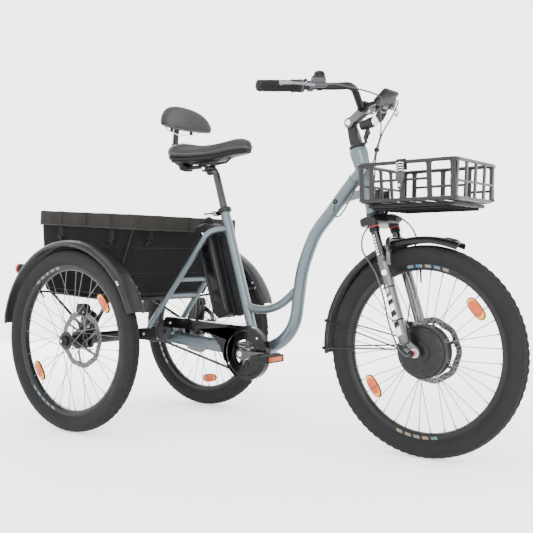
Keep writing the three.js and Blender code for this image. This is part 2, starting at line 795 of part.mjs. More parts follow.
function rearRack() {
  const half = BAG_WIDTH / 2 - 46;
  const front = -BAG_FRONT_TAPER - 14;
  const back = -BAG_LENGTH + BAG_TAPER + 14;
  const z = BAG_FLOOR - GAP - RACK_ROD;
  const parts = [
    rod(at(front, -half, z), at(front, half, z), RACK_ROD, 6),
    rod(at(back, -half, z), at(back, half, z), RACK_ROD, 6),
  ];
  for (const y of [-half, 0, half]) {
    parts.push(rod(at(front + 4, y, z), at(back - 4, y, z), RACK_ROD * 0.8, 6));
  }
  const footY = CARRIER_Y - CARRIER_T / 2 - 12;
  const fenderY = TRACK / 2 - REAR_FENDER_W / 2;
  for (const side of [-1, 1]) {
    const y = side * footY;
    parts.push(
      rod(onRack(10, y, AXLE_Z + AXLE_TUBE_R), at(front - 20, side * half, z), RACK_ROD * 0.9, 6),
      rod(onRack(-16, y, AXLE_Z + AXLE_TUBE_R), at(back, side * half, z), 5, 6),
      rod(onRack(-18, y, AXLE_Z + AXLE_TUBE_R + 8), onRack(20, y, AXLE_Z + AXLE_TUBE_R + 8), 7, 6),
    );
    for (const [from, angle] of [[front, 30], [back, 150]]) {
      const reach = REAR_FENDER_R - 12;
      const a = degrees(angle);
      const tip = onRack(reach * Math.cos(a), side * fenderY, AXLE_Z + reach * Math.sin(a));
      parts.push(rod(at(from, side * half, z), tip, 4, 6));
    }
  }
  const axle = onRack(0, 0, AXLE_Z);
  const fenders = [-1, 1].map((side) => {
    const [y0, y1] = [side * (fenderY - GAP), side * (fenderY + 40)].sort((p, q) => p - q);
    return box(-700, 200, y0, y1, -600, 0);
  });
  return cut(join(parts), drum(axle.x, axle.z, -400, 400, AXLE_TUBE_R + 1, 16), ...fenders);
}

// ---------------------------------------------------------------- cargo bag
// A tapered tub of fabric, open at the top; the cover drops over its rim.
function taperedBlock(inset, depth, taper, frontTaper, top) {
  const length = BAG_LENGTH - 2 * inset;
  const width = BAG_WIDTH - 2 * inset;
  const geometry = new THREE.BoxGeometry(length, width, depth);
  const place = geometry.attributes.position;
  for (let i = 0; i < place.count; i++) {
    if (place.getZ(i) > 0) continue;
    const ahead = place.getX(i) > 0;
    place.setX(i, place.getX(i) + (ahead ? -frontTaper : taper));
    place.setY(i, place.getY(i) - Math.sign(place.getY(i)) * taper);
  }
  geometry.translate(-BAG_LENGTH / 2, 0, top - depth / 2);
  return solid(geometry);
}

function cargoBag() {
  const inset = 6;
  const outer = taperedBlock(inset, BAG_DEPTH, BAG_TAPER, BAG_FRONT_TAPER, BAG_RIM);
  const lift = 6;
  const inner = taperedBlock(
    inset + BAG_WALL,
    BAG_DEPTH,
    BAG_TAPER,
    BAG_FRONT_TAPER,
    BAG_RIM + lift,
  );
  return cut(outer, inner);
}

function bagCover() {
  const outer = taperedBlock(0, COVER_SKIRT, 0, 0, 0);
  const inner = taperedBlock(4, COVER_SKIRT, 0, 0, -4);
  return cut(outer, inner);
}

// ---------------------------------------------------------------- battery
function battery() {
  const low = BATTERY_LOW;
  const shape = outline([
    [-BATTERY_NEAR, low + 4],
    [-BATTERY_NEAR, BATTERY_HIGH],
    [-BATTERY_NEAR - 16, BATTERY_HIGH + 12],
    [-BATTERY_FAR + 12, BATTERY_HIGH + 12],
    [-BATTERY_FAR, BATTERY_HIGH - 2],
    [-BATTERY_FAR, low + 26],
    [-BATTERY_FAR + 18, low],
  ]);
  const half = BATTERY_W / 2;
  const body = plate(shape, -half, half);
  const grip = [
    at(-BATTERY_NEAR - 20, 0, BATTERY_HIGH + 8),
    at(-BATTERY_NEAR - 20, 0, BATTERY_HIGH + 28),
    at(-BATTERY_FAR + 16, 0, BATTERY_HIGH + 28),
    at(-BATTERY_FAR + 16, 0, BATTERY_HIGH + 8),
  ];
  return join([body, polyRod(grip, 5, 6)]);
}

// ---------------------------------------------------------------- drive train
// A closed loop of chain around two sprockets, as a thin band.
function chainLoop(a, ra, b, rb, y) {
  const loop = (grow) => {
    const far = Math.hypot(b[0] - a[0], b[1] - a[1]);
    const lean = Math.atan2(b[1] - a[1], b[0] - a[0]);
    const open = Math.acos((ra - rb) / far);
    const points = [];
    const steps = 10;
    for (let i = 0; i <= steps; i++) {
      const angle = lean + open + ((2 * Math.PI - 2 * open) * i) / steps;
      const r = ra + grow;
      points.push([a[0] + r * Math.cos(angle), a[1] + r * Math.sin(angle)]);
    }
    for (let i = 0; i <= steps; i++) {
      const angle = lean - open + (2 * open * i) / steps;
      const r = rb + grow;
      points.push([b[0] + r * Math.cos(angle), b[1] + r * Math.sin(angle)]);
    }
    return outline(points);
  };
  const half = CHAIN_W / 2;
  return cut(
    plate(loop(CHAIN_H / 2), y - half, y + half),
    plate(loop(-CHAIN_H / 2), y - half - 1, y + half + 1),
  );
}

const driveChain = () =>
  chainLoop(BB, CHAINRING_R, GEAR_HUB, HUB_SPROCKET_R, CHAIN_LINE);
const finalChain = () =>
  chainLoop(GEAR_HUB, FINAL_SPROCKET_R, [0, AXLE_Z], FINAL_SPROCKET_R, FINAL_LINE);

function chainGuard() {
  const y0 = CHAIN_LINE - CHAIN_W / 2 - 14;
  const y1 = CHAIN_LINE - CHAIN_W / 2 - 4;
  const disc = CHAINRING_R + 16;
  const shape = new THREE.Shape();
  shape.moveTo(BB[0] - 10, BB[1] + disc);
  shape.absarc(BB[0], BB[1], disc, Math.PI / 2 + 0.1, -0.98 * Math.PI, true);
  shape.lineTo(BB[0] - 118, BB[1] + 34);
  shape.lineTo(GEAR_HUB[0] + 120, GEAR_HUB[1] + 16);
  shape.lineTo(GEAR_HUB[0] + 24, GEAR_HUB[1] + 16);
  shape.absarc(GEAR_HUB[0] + 36, GEAR_HUB[1] + 34, 18, Math.PI, Math.PI / 2, true);
  const side = plate(shape, y0, y0 + 3);
  const roof = flatBar(
    [GEAR_HUB[0] + 30, GEAR_HUB[1] + 51],
    [BB[0] - 6, BB[1] + disc - 1],
    (y0 + y1 + 14) / 2,
    y1 - y0 + 14,
    3,
  );
  const rimBand = ring(
    [
      [disc - 3, y0],
      [disc, y0],
      [disc, y1 + 12],
      [disc - 3, y1 + 12],
    ],
    30,
  ).intersect(sector(-degrees(112), degrees(96), disc * 2, -200, 200));
  const hole = drum(BB[0], BB[1], y0 - 9, y1 + 9, 44, 24);
  return join([cut(side, hole), roof, moved(rimBand, BB[0], 0, BB[1])]);
}

const ARM_T = 13;

// Chainring, spindle and both arms turn as one; the right arm points forward at rest.
function crankset() {
  const [x, z] = BB;
  const parts = [
    drum(x, z, -ARM_FACE - 2, ARM_FACE + 2, SHAFT_R, 14),
    drum(x, z, CHAIN_LINE - 1.5, CHAIN_LINE + 1.5, CHAINRING_R - 6.5, 30),
    drum(x, z, CHAIN_LINE - 2, -BB_WIDTH / 2 - 2, 24, 16),
    drum(x, z, -ARM_FACE - 4, CHAIN_LINE, 22, 16),
  ];
  const holes = [];
  for (const side of [-1, 1]) {
    const [y0, y1] = [side * ARM_FACE, side * (ARM_FACE + ARM_T)].sort((p, q) => p - q);
    const tip = x - side * CRANK_LENGTH;
    parts.push(drum(x, z, y0, y1, 17, 14));
    parts.push(flatBar([x, z], [tip, z], (y0 + y1) / 2, ARM_T, 20));
    parts.push(drum(tip, z, y0, y1, 13, 12));
    holes.push(drum(tip, z, y0 - 20, y1 + 20, 5 + RUNNING, 10));
  }
  return cut(join(parts), ...holes);
}

function pedal(side) {
  const x = BB[0] - side * CRANK_LENGTH;
  const z = BB[1];
  const y0 = side * (ARM_FACE + ARM_T + 4);
  const y1 = y0 + side * PEDAL_LENGTH;
  const [low, high] = [Math.min(y0, y1), Math.max(y0, y1)];
  const body = box(x - PEDAL_W / 2, x + PEDAL_W / 2, low, high, z - PEDAL_H / 2, z + PEDAL_H / 2);
  const windows = [-1, 1].map((half) => {
    const a = x + half * 9;
    const b = x + half * (PEDAL_W / 2 - 7);
    return box(Math.min(a, b), Math.max(a, b), low + 9, high - 9, z - 30, z + 30);
  });
  const axle = drum(x, z, Math.min(side * (ARM_FACE + 1), y0), Math.max(side * (ARM_FACE + 1), y0), 5, 12);
  return join([cut(body, ...windows), axle]);
}

// The gear hub in the frame's rear ends, with its two sprockets.
function gearHub() {
  const [x, z] = GEAR_HUB;
  return join([
    drum(x, z, -18, 18, 26, 18),
    drum(x, z, CHAIN_LINE - 4, FINAL_LINE + 4, 6, 12),
    drum(x, z, CHAIN_LINE - 1.5, CHAIN_LINE + 1.5, HUB_SPROCKET_R - 6, 22),
    drum(x, z, FINAL_LINE - 1.5, FINAL_LINE + 1.5, FINAL_SPROCKET_R - 6, 22),
  ]);
}

// ---------------------------------------------------------------- fork and steering
function forkUpper() {
  const x = FORK_OFFSET;
  const parts = [
    rod(at(0, 0, -CROWN_H + 2), at(0, 0, HEAD_LENGTH - 24), STEERER_R, 16),
    rod(at(0, 0, -8), at(0, 0, -1), HEAD_R + HEAD_FLARE - 2, 20),
  ];
  const half = FORK_HALF;
  const shape = roundedRectangle(-20, x + 20, -half - 16, half + 16, 15);
  parts.push(slab(shape, -CROWN_H - 4, -8, 3));
  for (const side of [-1, 1]) {
    const y = side * half;
    parts.push(rod(at(x, y, -58), at(x, y, -20), LEG_R - 1, 14));
    parts.push(rod(at(x, y, LEG_TOP - 90), at(x, y, -45), STANCHION_R, 14));
  }
  return join(parts);
}

// The quill stem's fixed part: from inside the steerer up to its fork-shaped pivot.
function stemQuill() {
  const parts = [
    rod(at(0, 0, HEAD_LENGTH + 1), at(0, 0, HEAD_LENGTH + 10), HEAD_R + 3, 20),
    rod(at(0, 0, HEAD_LENGTH + 5), at(0, 0, STEM_PIVOT - 21), STEM_R, 16),
    box(-13, 13, -9, 9, STEM_PIVOT - 26, STEM_PIVOT),
    drum(0, STEM_PIVOT, -9, 9, 16, 18),
    rod(at(0, 0, HEAD_LENGTH - 22), at(0, 0, HEAD_LENGTH + 6), 11, 14),
    headlightBracket(),
  ];
  return cut(join(parts), drum(0, STEM_PIVOT, -30, 30, 5 + RUNNING, 12));
}

const PIVOT_XZ = fromSteering(0, STEM_PIVOT);
const CLAMP_XZ = [
  PIVOT_XZ[0] + STEM_ARM * Math.cos(STEM_ARM_ANGLE),
  PIVOT_XZ[1] + STEM_ARM * Math.sin(STEM_ARM_ANGLE),
];

function stemArm() {
  const parts = [];
  for (const side of [-1, 1]) {
    const y = side * 13.5;
    parts.push(drum(PIVOT_XZ[0], PIVOT_XZ[1], y - 3.5, y + 3.5, 16, 18));
    parts.push(flatBar(PIVOT_XZ, CLAMP_XZ, y, 7, 24));
  }
  parts.push(drum(PIVOT_XZ[0], PIVOT_XZ[1], -15, 15, 5, 12));
  parts.push(drum(CLAMP_XZ[0], CLAMP_XZ[1], -21, 21, 19, 18));
  const bore = drum(CLAMP_XZ[0], CLAMP_XZ[1], -40, 40, BAR_R + RUNNING + GAP, 12);
  return cut(join(parts), bore);
}

// Half of the bar from the clamp to the grip's end, as points for one side.
function barPoints(side) {
  const [x, z] = CLAMP_XZ;
  const top = z + BAR_RISE;
  const share = (y) => (y - BAR_BEND) / (BAR_HALF - BAR_BEND);
  const swept = (y) => at(x + 11 - BAR_SWEEP * share(y), side * y, top - 14 * share(y));
  return [
    at(x, side * 36, z),
    at(x + 3, side * 52, z + 7),
    at(x + 10, side * 84, z + BAR_RISE * 0.68),
    at(x + 12, side * 104, z + BAR_RISE * 0.94),
    at(x + 7, side * 128, top + 1),
    swept(158),
    swept(BAR_HALF * 0.7),
    swept(BAR_HALF),
  ];
}
const BAR_END = { start: barPoints(1)[6], end: barPoints(1)[7] };
const BAR_DIRECTION = BAR_END.end.clone().sub(BAR_END.start).normalize();

// A point on the straight, swept stretch of the bar, `back` from its end.
function onBar(side, back) {
  const p = BAR_END.end.clone().addScaledVector(BAR_DIRECTION, -back);
  return at(p.x, side * p.y, p.z);
}

function handlebar() {
  const left = barPoints(1);
  const right = barPoints(-1).reverse();
  return pipe([...right, at(CLAMP_XZ[0], 0, CLAMP_XZ[1]), ...left], BAR_R, 34, 8);
}

function sleeve(side, from, to, radius, inner = BAR_R + 1) {
  const outer = rod(onBar(side, from), onBar(side, to), radius, 12);
  return cut(outer, rod(onBar(side, from - 40), onBar(side, to + 40), inner, 12));
}

function grip(side) {
  const cap = rod(onBar(side, -4), onBar(side, -GAP), GRIP_R, 14);
  const body = sleeve(side, -0.2 - GAP, GRIP_LENGTH, GRIP_R);
  return join([body, cap]);
}

const MASTER_AT = GRIP_LENGTH + SHIFTER_LENGTH + 14; // brake clamp, back from the bar's end

// A hydraulic brake's clamp and reservoir; the lever swings in its slot.
function brakeMaster(side) {
  const ringPart = sleeve(side, MASTER_AT, MASTER_AT + 16, GRIP_R - 1);
  const forward = leverFrame(side);
  const start = onBar(side, MASTER_AT + 8);
  const body = start.clone().addScaledVector(forward, 24);
  const inboard = at(-BAR_DIRECTION.x, -side * BAR_DIRECTION.y, -BAR_DIRECTION.z);
  const tail = body.clone().addScaledVector(inboard, 42);
  return cut(
    join([
      ringPart,
      rod(start.clone().addScaledVector(forward, 12), body, 8, 10),
      rod(body, tail, 10, 10),
    ]),
    rod(onBar(side, 60), onBar(side, 200), BAR_R + 1, 12),
  );
}

// The level direction ahead of the grip, square to the bar.
function leverFrame(side) {
  const along = at(BAR_DIRECTION.x, side * BAR_DIRECTION.y, 0).normalize();
  return at(side * along.y, -side * along.x, 0);
}

function brakeLever(side) {
  const forward = leverFrame(side);
  const outboard = at(BAR_DIRECTION.x, side * BAR_DIRECTION.y, BAR_DIRECTION.z);
  const start = onBar(side, MASTER_AT + 8);
  const reach = (out, ahead) =>
    start.clone().addScaledVector(outboard, out).addScaledVector(forward, ahead);
  const points = [reach(14, 32), reach(40, 47), reach(78, 55), reach(112, 54)];
  return pipe(points, 5, 8, 6);
}

function twistShifter() {
  return sleeve(-1, GRIP_LENGTH + 2, GRIP_LENGTH + 2 + SHIFTER_LENGTH, GRIP_R + 2);
}

function displayUnit() {
  const geometry = new THREE.BoxGeometry(58, 84, 12);
  geometry.rotateY(-degrees(41));
  geometry.translate(CLAMP_XZ[0] + 66, 0, CLAMP_XZ[1] + 24);
  const mount = [-1, 1].map((side) =>
    rod(
      at(CLAMP_XZ[0] + 15, side * 29, CLAMP_XZ[1] + 6),
      at(CLAMP_XZ[0] + 58, side * 29, CLAMP_XZ[1] + 16),
      6,
      8,
    ),
  );
  const clamps = [-1, 1].map((side) =>
    drum(CLAMP_XZ[0], CLAMP_XZ[1], side * 29 - 3.5, side * 29 + 3.5, 17, 14),
  );
  const bore = drum(CLAMP_XZ[0], CLAMP_XZ[1], -40, 40, BAR_R + 1.4, 12);
  return cut(join([solid(geometry), ...mount, ...clamps]), bore);
}

function bell() {
  const spot = onBar(-1, MASTER_AT + 34);
  const low = spot.z + BAR_R + 1;
  const profile = [[0, 0], [17, 0], [17, 14], [19, 16], [17, 25], [11, 31], [0, 34]];
  const points = profile.map(([r, z]) => new THREE.Vector2(r, z));
  const geometry = new THREE.LatheGeometry(points, 14);
  geometry.rotateX(Math.PI / 2);
  geometry.translate(spot.x, spot.y, low);
  return solid(geometry);
}

// The headlight's barrel, with a lug under it that tilts between the bracket's ears.
function headlight() {
  const [x, z] = LIGHT_PIVOT;
  const barrel = rod(at(x - 24, 0, z + 22), at(x + 28, 0, z + 32), 17, 16);
  const lug = join([box(x - 6, x + 6, -4, 4, z, z + 16), drum(x, z, -4, 4, 6, 10)]);
  return cut(join([barrel, lug]), drum(x, z, -20, 20, 3 + RUNNING, 8));
}

// The bracket from the headset's top nut to the headlight, with two ears and a pin.
function headlightBracket() {
  const [x, z] = toSteering(...LIGHT_PIVOT);
  const parts = [drum(x, z, -7.5, 7.5, 3, 8)];
  for (const side of [-1, 1]) {
    const [y0, y1] = [side * (4 + GAP), side * (7.5 + GAP)].sort((p, q) => p - q);
    parts.push(drum(x, z, y0, y1, 7, 10));
    parts.push(box(x - 6, x + 2, y0, y1, z - 26, z));
  }
  parts.push(box(4, x + 2, -7.5 - GAP, 7.5 + GAP, HEAD_LENGTH + 2, HEAD_LENGTH + 7));
  parts.push(box(x - 6, x + 2, -7.5 - GAP, 7.5 + GAP, HEAD_LENGTH + 2, z - 18));
  return join(parts);
}

// Two brake hoses from the levers to a clip beside the headlight, ahead of the stem.
function brakeHoses() {
  const radius = 2.5;
  const [x, z] = CLAMP_XZ;
  const clipAt = [x + 16, 30, z - 128]; // X, Y, Z of the clip's middle
  const runs = [-1, 1].map((side) => {
    const forward = leverFrame(side);
    const inboard = at(-BAR_DIRECTION.x, -side * BAR_DIRECTION.y, -BAR_DIRECTION.z);
    const body = onBar(side, MASTER_AT + 8).addScaledVector(forward, 24);
    const start = body.addScaledVector(inboard, 42 + GAP);
    const next = start.clone().addScaledVector(inboard, 40);
    const y = clipAt[1] + side * 4;
    return pipe(
      [
        start,
        next,
        at(x + 74, side * 62, z + 20),
        at(x + 66, side * 44 + 6, z - 16),
        at(x + 34, y + side * 2, z - 76),
        at(clipAt[0], y, clipAt[2]),
        at(clipAt[0] - 6, y, clipAt[2] - 26),
      ],
      radius,
      16,
      5,
    );
  });
  const [cx, cy, cz] = clipAt;
  return join([...runs, box(cx - 6, cx + 6, cy - 9, cy + 9, cz - 6, cz + 6)]);
}

// ---------------------------------------------------------------- fork lowers
function forkLowers() {
  const x = FORK_OFFSET;
  const [ax, az] = FRONT_AXLE;
  const parts = [];
  for (const side of [-1, 1]) {
    const y = side * FORK_HALF;
    const low = az + 38;
    parts.push(rod(at(x, y, low), at(x, y, LEG_TOP), LEG_R, 14));
    parts.push(rod(at(x, y, LEG_TOP - 2), at(x, y, LEG_TOP + 16), LEG_R - 2, 14));
    const shape = outline([
      [x - 15, low + 20],
      [x + 15, low + 20],
      [ax + 14, az + 8],
      [ax + 12, az - 14],
      [ax - 10, az - 16],
      [x - 14, low - 6],
    ]);
    const inner = side * DROPOUT_HALF;
    const outer = side * (DROPOUT_HALF + 12);
    parts.push(plate(shape, Math.min(inner, outer), Math.max(inner, outer)));
    parts.push(drum(ax, az, Math.min(outer, side * 78), Math.max(outer, side * 78), 11, 12));
  }
  // the axle itself
  parts.push(drum(ax, az, -78, 78, SHAFT_R - 3, 12));
  const arch = [
    at(x + 6, -FORK_HALF, LEG_TOP - 8),
    at(x + 10, -FORK_HALF + 4, LEG_TOP + 26),
    at(x + 12, -40, ARCH_TOP - 12),
    at(x + 12, 0, ARCH_TOP - 7),
    at(x + 12, 40, ARCH_TOP - 12),
    at(x + 10, FORK_HALF - 4, LEG_TOP + 26),
    at(x + 6, FORK_HALF, LEG_TOP - 8),
  ];
  parts.push(pipe(arch, 7, 12, 6));
  // brake caliper behind the left leg, over the disc
  const discY = 40 + ROTOR_T / 2;
  const caliper = join([
    box(x - 58, x - 12, discY - 9, discY + 17, az + 58, az + 106),
    box(x - 22, x + 4, discY + 7, FORK_HALF, az + 66, az + 98),
  ]);
  const slot = moved(ring([[20, -3], [ROTOR_R + 4, -3], [ROTOR_R + 4, 3], [20, 3]], 28), ax, discY, az);
  parts.push(cut(caliper, slot));
  const whole = join(parts);
  const bores = [-1, 1].map((side) =>
    rod(
      at(x, side * FORK_HALF, LEG_TOP - 90 - FORK_TRAVEL - 20),
      at(x, side * FORK_HALF, 0),
      STANCHION_R + RUNNING,
      14,
    ),
  );
  return cut(whole, ...bores);
}

// ---------------------------------------------------------------- saddle and backrest
// A cam beside the clamp's ears and a lever that swings out to the right.
function seatClampLever() {
  const z = SEAT_TUBE_TOP + 7;
  const y = -9 - GAP - 8;
  const x = -SEAT_TUBE_R - 16;
  return join([
    rod(at(x, y, z - 7), at(x, y, z + 7), 8, 12),
    rod(at(x, y, z), at(x - 9, y - 45, z), 4, 8),
  ]);
}

function seatPost() {
  const low = 330;
  const tube = rod(at(0, 0, low), at(0, 0, POST_TOP), POST_R, 16);
  const pivot = toSeat(...SADDLE_PIVOT);
  const eye = drum(-pivot.w, pivot.t, -16, 16, 12, 14);
  const bridge = rod(at(0, 0, POST_TOP - 10), at(-pivot.w, 0, pivot.t), 9, 8);
  const hole = drum(-pivot.w, pivot.t, -30, 30, 5 + RUNNING, 12);
  return cut(join([tube, eye, bridge]), hole);
}

function saddle() {
  const nose = SADDLE_NOSE;
  const tail = nose - SADDLE_LENGTH;
  const half = SADDLE_WIDTH / 2;
  const plan = new THREE.Shape();
  plan.moveTo(nose, 0);
  plan.bezierCurveTo(nose, 24, nose - 14, 30, nose - 40, 32);
  plan.bezierCurveTo(nose - 130, 38, nose - 150, half, tail + 70, half);
  plan.bezierCurveTo(tail + 20, half, tail, half - 20, tail, half * 0.5);
  plan.bezierCurveTo(tail, half * 0.2, tail + 8, 0, tail + 8, 0);
  plan.bezierCurveTo(tail + 8, 0, tail, -half * 0.2, tail, -half * 0.5);
  plan.bezierCurveTo(tail, -half + 20, tail + 20, -half, tail + 70, -half);
  plan.bezierCurveTo(nose - 150, -half, nose - 130, -38, nose - 40, -32);
  plan.bezierCurveTo(nose - 14, -30, nose, -24, nose, 0);
  const top = SADDLE_TOP;
  const side = outline([
    [nose, top - 46],
    [nose - 6, top - 14],
    [nose - 30, top],
    [nose - 70, top - 1],
    [nose - 150, top - 12],
    [nose - 230, top - 12],
    [tail + 16, top - 2],
    [tail + 2, top - 12],
    [tail, top - 44],
    [tail + 60, top - 70],
    [tail + 130, top - 68],
    [nose - 110, top - 48],
    [nose - 60, top - 44],
  ]);
  const body = slab(plan, top - 90, top + 10, 3).intersect(plate(side, -half - 5, half + 5));
  const [px, pz] = SADDLE_PIVOT;
  const rails = [-22, 22].map((y) =>
    pipe(
      [
        at(px + 104, y * 0.7, top - 48),
        at(px + 50, y, pz + 20),
        at(px - 50, y, pz + 20),
        at(px - 84, y * 1.4, top - 60),
      ],
      4,
      6,
      5,
    ),
  );
  const clamp = join([
    box(px - 22, px + 22, -28, 28, pz + 15, pz + 26),
    drum(px, pz, -28, -19, 12, 12),
    drum(px, pz, 19, 28, 12, 12),
    box(px - 10, px + 10, -28, -19, pz, pz + 18),
    box(px - 10, px + 10, 19, 28, pz, pz + 18),
    drum(px, pz, -28, 28, 5, 12),
  ]);
  // the arm behind carries the backrest's hinge
  const [rx, rz] = REST_PIVOT;
  const arm = join([
    box(rx + 8, px - 15, -12, 12, pz + 4, pz + 16),
    drum(rx, rz, -12, 12, 16, 16),
  ]);
  const hole = drum(rx, rz, -40, 40, 5 + RUNNING, 12);
  return cut(join([body, ...rails, clamp, arm]), hole);
}

function backrestBar() {
  const [x, z] = REST_PIVOT;
  const parts = [];
  for (const side of [-1, 1]) {
    const y = side * 17;
    parts.push(drum(x, z, y - 3, y + 3, 15, 16));
    parts.push(flatBar([x, z], [x - 52, z + 30], y, 6, 18));
  }
  parts.push(drum(x, z, -16, 16, 5, 12));
  parts.push(box(x - 62, x - 40, -20, 20, z + 20, z + 40));
  parts.push(flatBar([x - 51, z + 28], [x - 56, z + 92], 0, 24, 8));
  parts.push(flatBar([x - 56, z + 90], [x - 44, REST_PAD.bottom + 44], 0, 24, 8));
  return join(parts);
}

function backrestPad() {
  const { x, bottom, top, half, thick } = REST_PAD;
  const shape = new THREE.Shape();
  shape.moveTo(-half, bottom);
  shape.lineTo(half, bottom);
  shape.bezierCurveTo(half + 4, bottom + 30, half * 0.7, top, 0, top);
  shape.bezierCurveTo(-half * 0.7, top, -half - 4, bottom + 30, -half, bottom);
  const settings = { depth: 90, bevelEnabled: false, curveSegments: 8 };
  const face = new THREE.ExtrudeGeometry(shape, settings);
  face.rotateX(Math.PI / 2);
  face.rotateZ(Math.PI / 2);
  face.translate(x - 30, 0, 0);
  const curve = 420;
  const bend = (grow) => rod(at(x + curve, 0, bottom - 40), at(x + curve, 0, top + 40), curve + grow, 64);
  return cut(solid(face).intersect(bend(0)), bend(-thick));
}

// ---------------------------------------------------------------- front basket
function basketSide(x0, x1, y0, y1, uprights, rails) {
  const low = BASKET_BOTTOM + BASKET_ROD;
  const high = BASKET_TOP - BASKET_ROD;
  const point = (share, z) => {
    const lean = (BASKET_TAPER * (high - z)) / (high - low);
    const x = x0 + (x1 - x0) * share;
    const y = y0 + (y1 - y0) * share;
    const middle = BASKET_REAR + BASKET_LENGTH / 2;
    const inX = x0 === x1 ? Math.sign(x - middle) * lean : 0;
    const inY = y0 === y1 ? Math.sign(y) * lean : 0;
    return at(x - inX, y - inY, z);
  };
  const parts = [
    rod(point(0, low), point(1, low), BASKET_ROD, 6),
    rod(point(0, high), point(1, high), BASKET_ROD, 6),
  ];
  for (const share of uprights) {
    parts.push(rod(point(share, low), point(share, high), BASKET_ROD * 0.8, 4));
  }
  for (const [from, to, level] of rails) {
    const z = low + (high - low) * level;
    parts.push(rod(point(from, z), point(to, z), BASKET_ROD * 0.7, 4));
  }
  return join(parts);
}

function basket() {
  const corner = 2 * BASKET_ROD + 1;
  const rear = BASKET_REAR + BASKET_ROD;
  const front = BASKET_REAR + BASKET_LENGTH - BASKET_ROD;
  const half = BASKET_WIDTH / 2 - BASKET_ROD;
  const inset = corner;
  const sides = [0.03, 0.3, 0.68, 0.97];
  const sideRails = [
    [0, 0.68, 0.6],
    [0.68, 1, 0.36],
  ];
  add("basket_right", basketSide(rear + inset, front - inset, -half, -half, sides, sideRails), BLACK_PAINT);
  add("basket_left", basketSide(rear + inset, front - inset, half, half, sides, sideRails), BLACK_PAINT);
  const endRails = [[0, 1, 0.45]];
  add("basket_front", basketSide(front, front, -half, half, [0.03, 0.3, 0.7, 0.97], endRails), BLACK_PAINT);
  const back = basketSide(rear, rear, -half, half, [0.03, 0.32, 0.68, 0.97], endRails);
  add("basket_rear", cut(join([back, ...basketBracket()]), headCutter()), BLACK_PAINT);
  const floorShape = roundedRectangle(rear + 14, front - 14, -half + 14, half - 14, 20);
  add("basket_floor", slab(floorShape, BASKET_BOTTOM - 14, BASKET_BOTTOM - 3, 3), BLACK_PLASTIC);
}

// Two arms that hold the basket on the front of the head tube.
function basketBracket() {
  const levels = [BASKET_BOTTOM + 8, BASKET_BOTTOM + 70];
  const parts = [];
  for (const level of levels) {
    const axisX = HEAD_BOTTOM[0] - (level - HEAD_BOTTOM[1]) * Math.tan(HEAD_ANGLE);
    parts.push(box(axisX + 4, BASKET_REAR + 12, -14, 14, level - 9, level + 9));
  }
  parts.push(box(BASKET_REAR - 2, BASKET_REAR + 8, -14, 14, levels[0], levels[1]));
  return parts;
}

// ---------------------------------------------------------------- the tricycle
add("head_tube", headTube(), FRAME_PAINT, steering);
add("down_tube", downTube(), FRAME_PAINT);
add("seat_tube", seatTube(), FRAME_PAINT, seatLine);
add("brace_tube", braceTube(), FRAME_PAINT);
add("seat_stays", seatStays(), FRAME_PAINT);
add("chain_stays", chainStays(), FRAME_PAINT);
add("battery_rail", batteryRail(), BLACK_PAINT, seatLine);
add("battery", battery(), BLACK_PLASTIC, seatLine);
add("rear_axle_beam", rearAxleBeam(), BLACK_PAINT);
add("rear_rack", rearRack(), BLACK_PAINT, bagLine);
add("cargo_bag", cargoBag(), FABRIC, bagLine);
add("bag_cover", bagCover(), FABRIC, bagLine);
for (const [side, word] of [[-1, "right"], [1, "left"]]) {
  rearWheel(side, word);
  add(`rear_fender_${word}`, rearFender(side), BLACK_PLASTIC);
  add(`tail_light_${word}`, tailLight(side), RED_LENS);
  add(`pedal_${word}`, pedal(side), BLACK_PLASTIC);
  add(`grip_${word}`, grip(side), GRIP_RUBBER);
  add(`brake_master_${word}`, brakeMaster(side), BLACK_PAINT);
  add(`brake_lever_${word}`, brakeLever(side), ALLOY);
}
add("drive_chain", driveChain(), STEEL);
add("final_chain", finalChain(), STEEL);
add("chain_guard", chainGuard(), GLOSS_BLACK);
add("crankset", crankset(), BLACK_PAINT);
add("gear_hub", gearHub(), STEEL);
add("axle_sprocket", axleSprocket(), STEEL);
add("seat_clamp_lever", seatClampLever(), BLACK_PAINT, seatLine);
add("seat_post", seatPost(), CHROME, seatLine);
add("saddle", saddle(), VINYL);
add("backrest_bar", backrestBar(), BLACK_PAINT);
add("backrest_pad", backrestPad(), VINYL);
basket();
add("fork_upper", forkUpper(), CHROME, steering);
add("stem_quill", stemQuill(), BLACK_PAINT, steering);
add("stem_arm", stemArm(), ALLOY);
add("handlebar", handlebar(), BLACK_PAINT);
add("twist_shifter", twistShifter(), BLACK_PLASTIC);
add("display", displayUnit(), SCREEN);
add("bell", bell(), GLOSS_BLACK);
add("headlight", headlight(), GLOSS_BLACK);
add("brake_hoses", brakeHoses(), BLACK_PLASTIC);
add("fork_lowers", forkLowers(), BLACK_PAINT, steering);
add("front_fender", frontFender(), BLACK_PLASTIC);
frontWheel();

trike.updateMatrixWorld(true);
const bounds = new THREE.Box3().setFromObject(trike, true);
const middle = bounds.getCenter(new THREE.Vector3());
trike.position.set(-middle.x, -middle.y, -bounds.min.z);

export default trike;
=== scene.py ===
# %% [markdown]
# # An adult tricycle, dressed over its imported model
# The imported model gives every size, body and joint. This lesson builds a detailed piece over
# each plain solid, gives it a finish made of nodes, and leaves the joints alone. Everything is
# drawn in millimetres from the rear axle and turned into metres as a piece is made.

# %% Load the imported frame
import math

import bpy
import numpy as np
from mathutils import Matrix, Vector


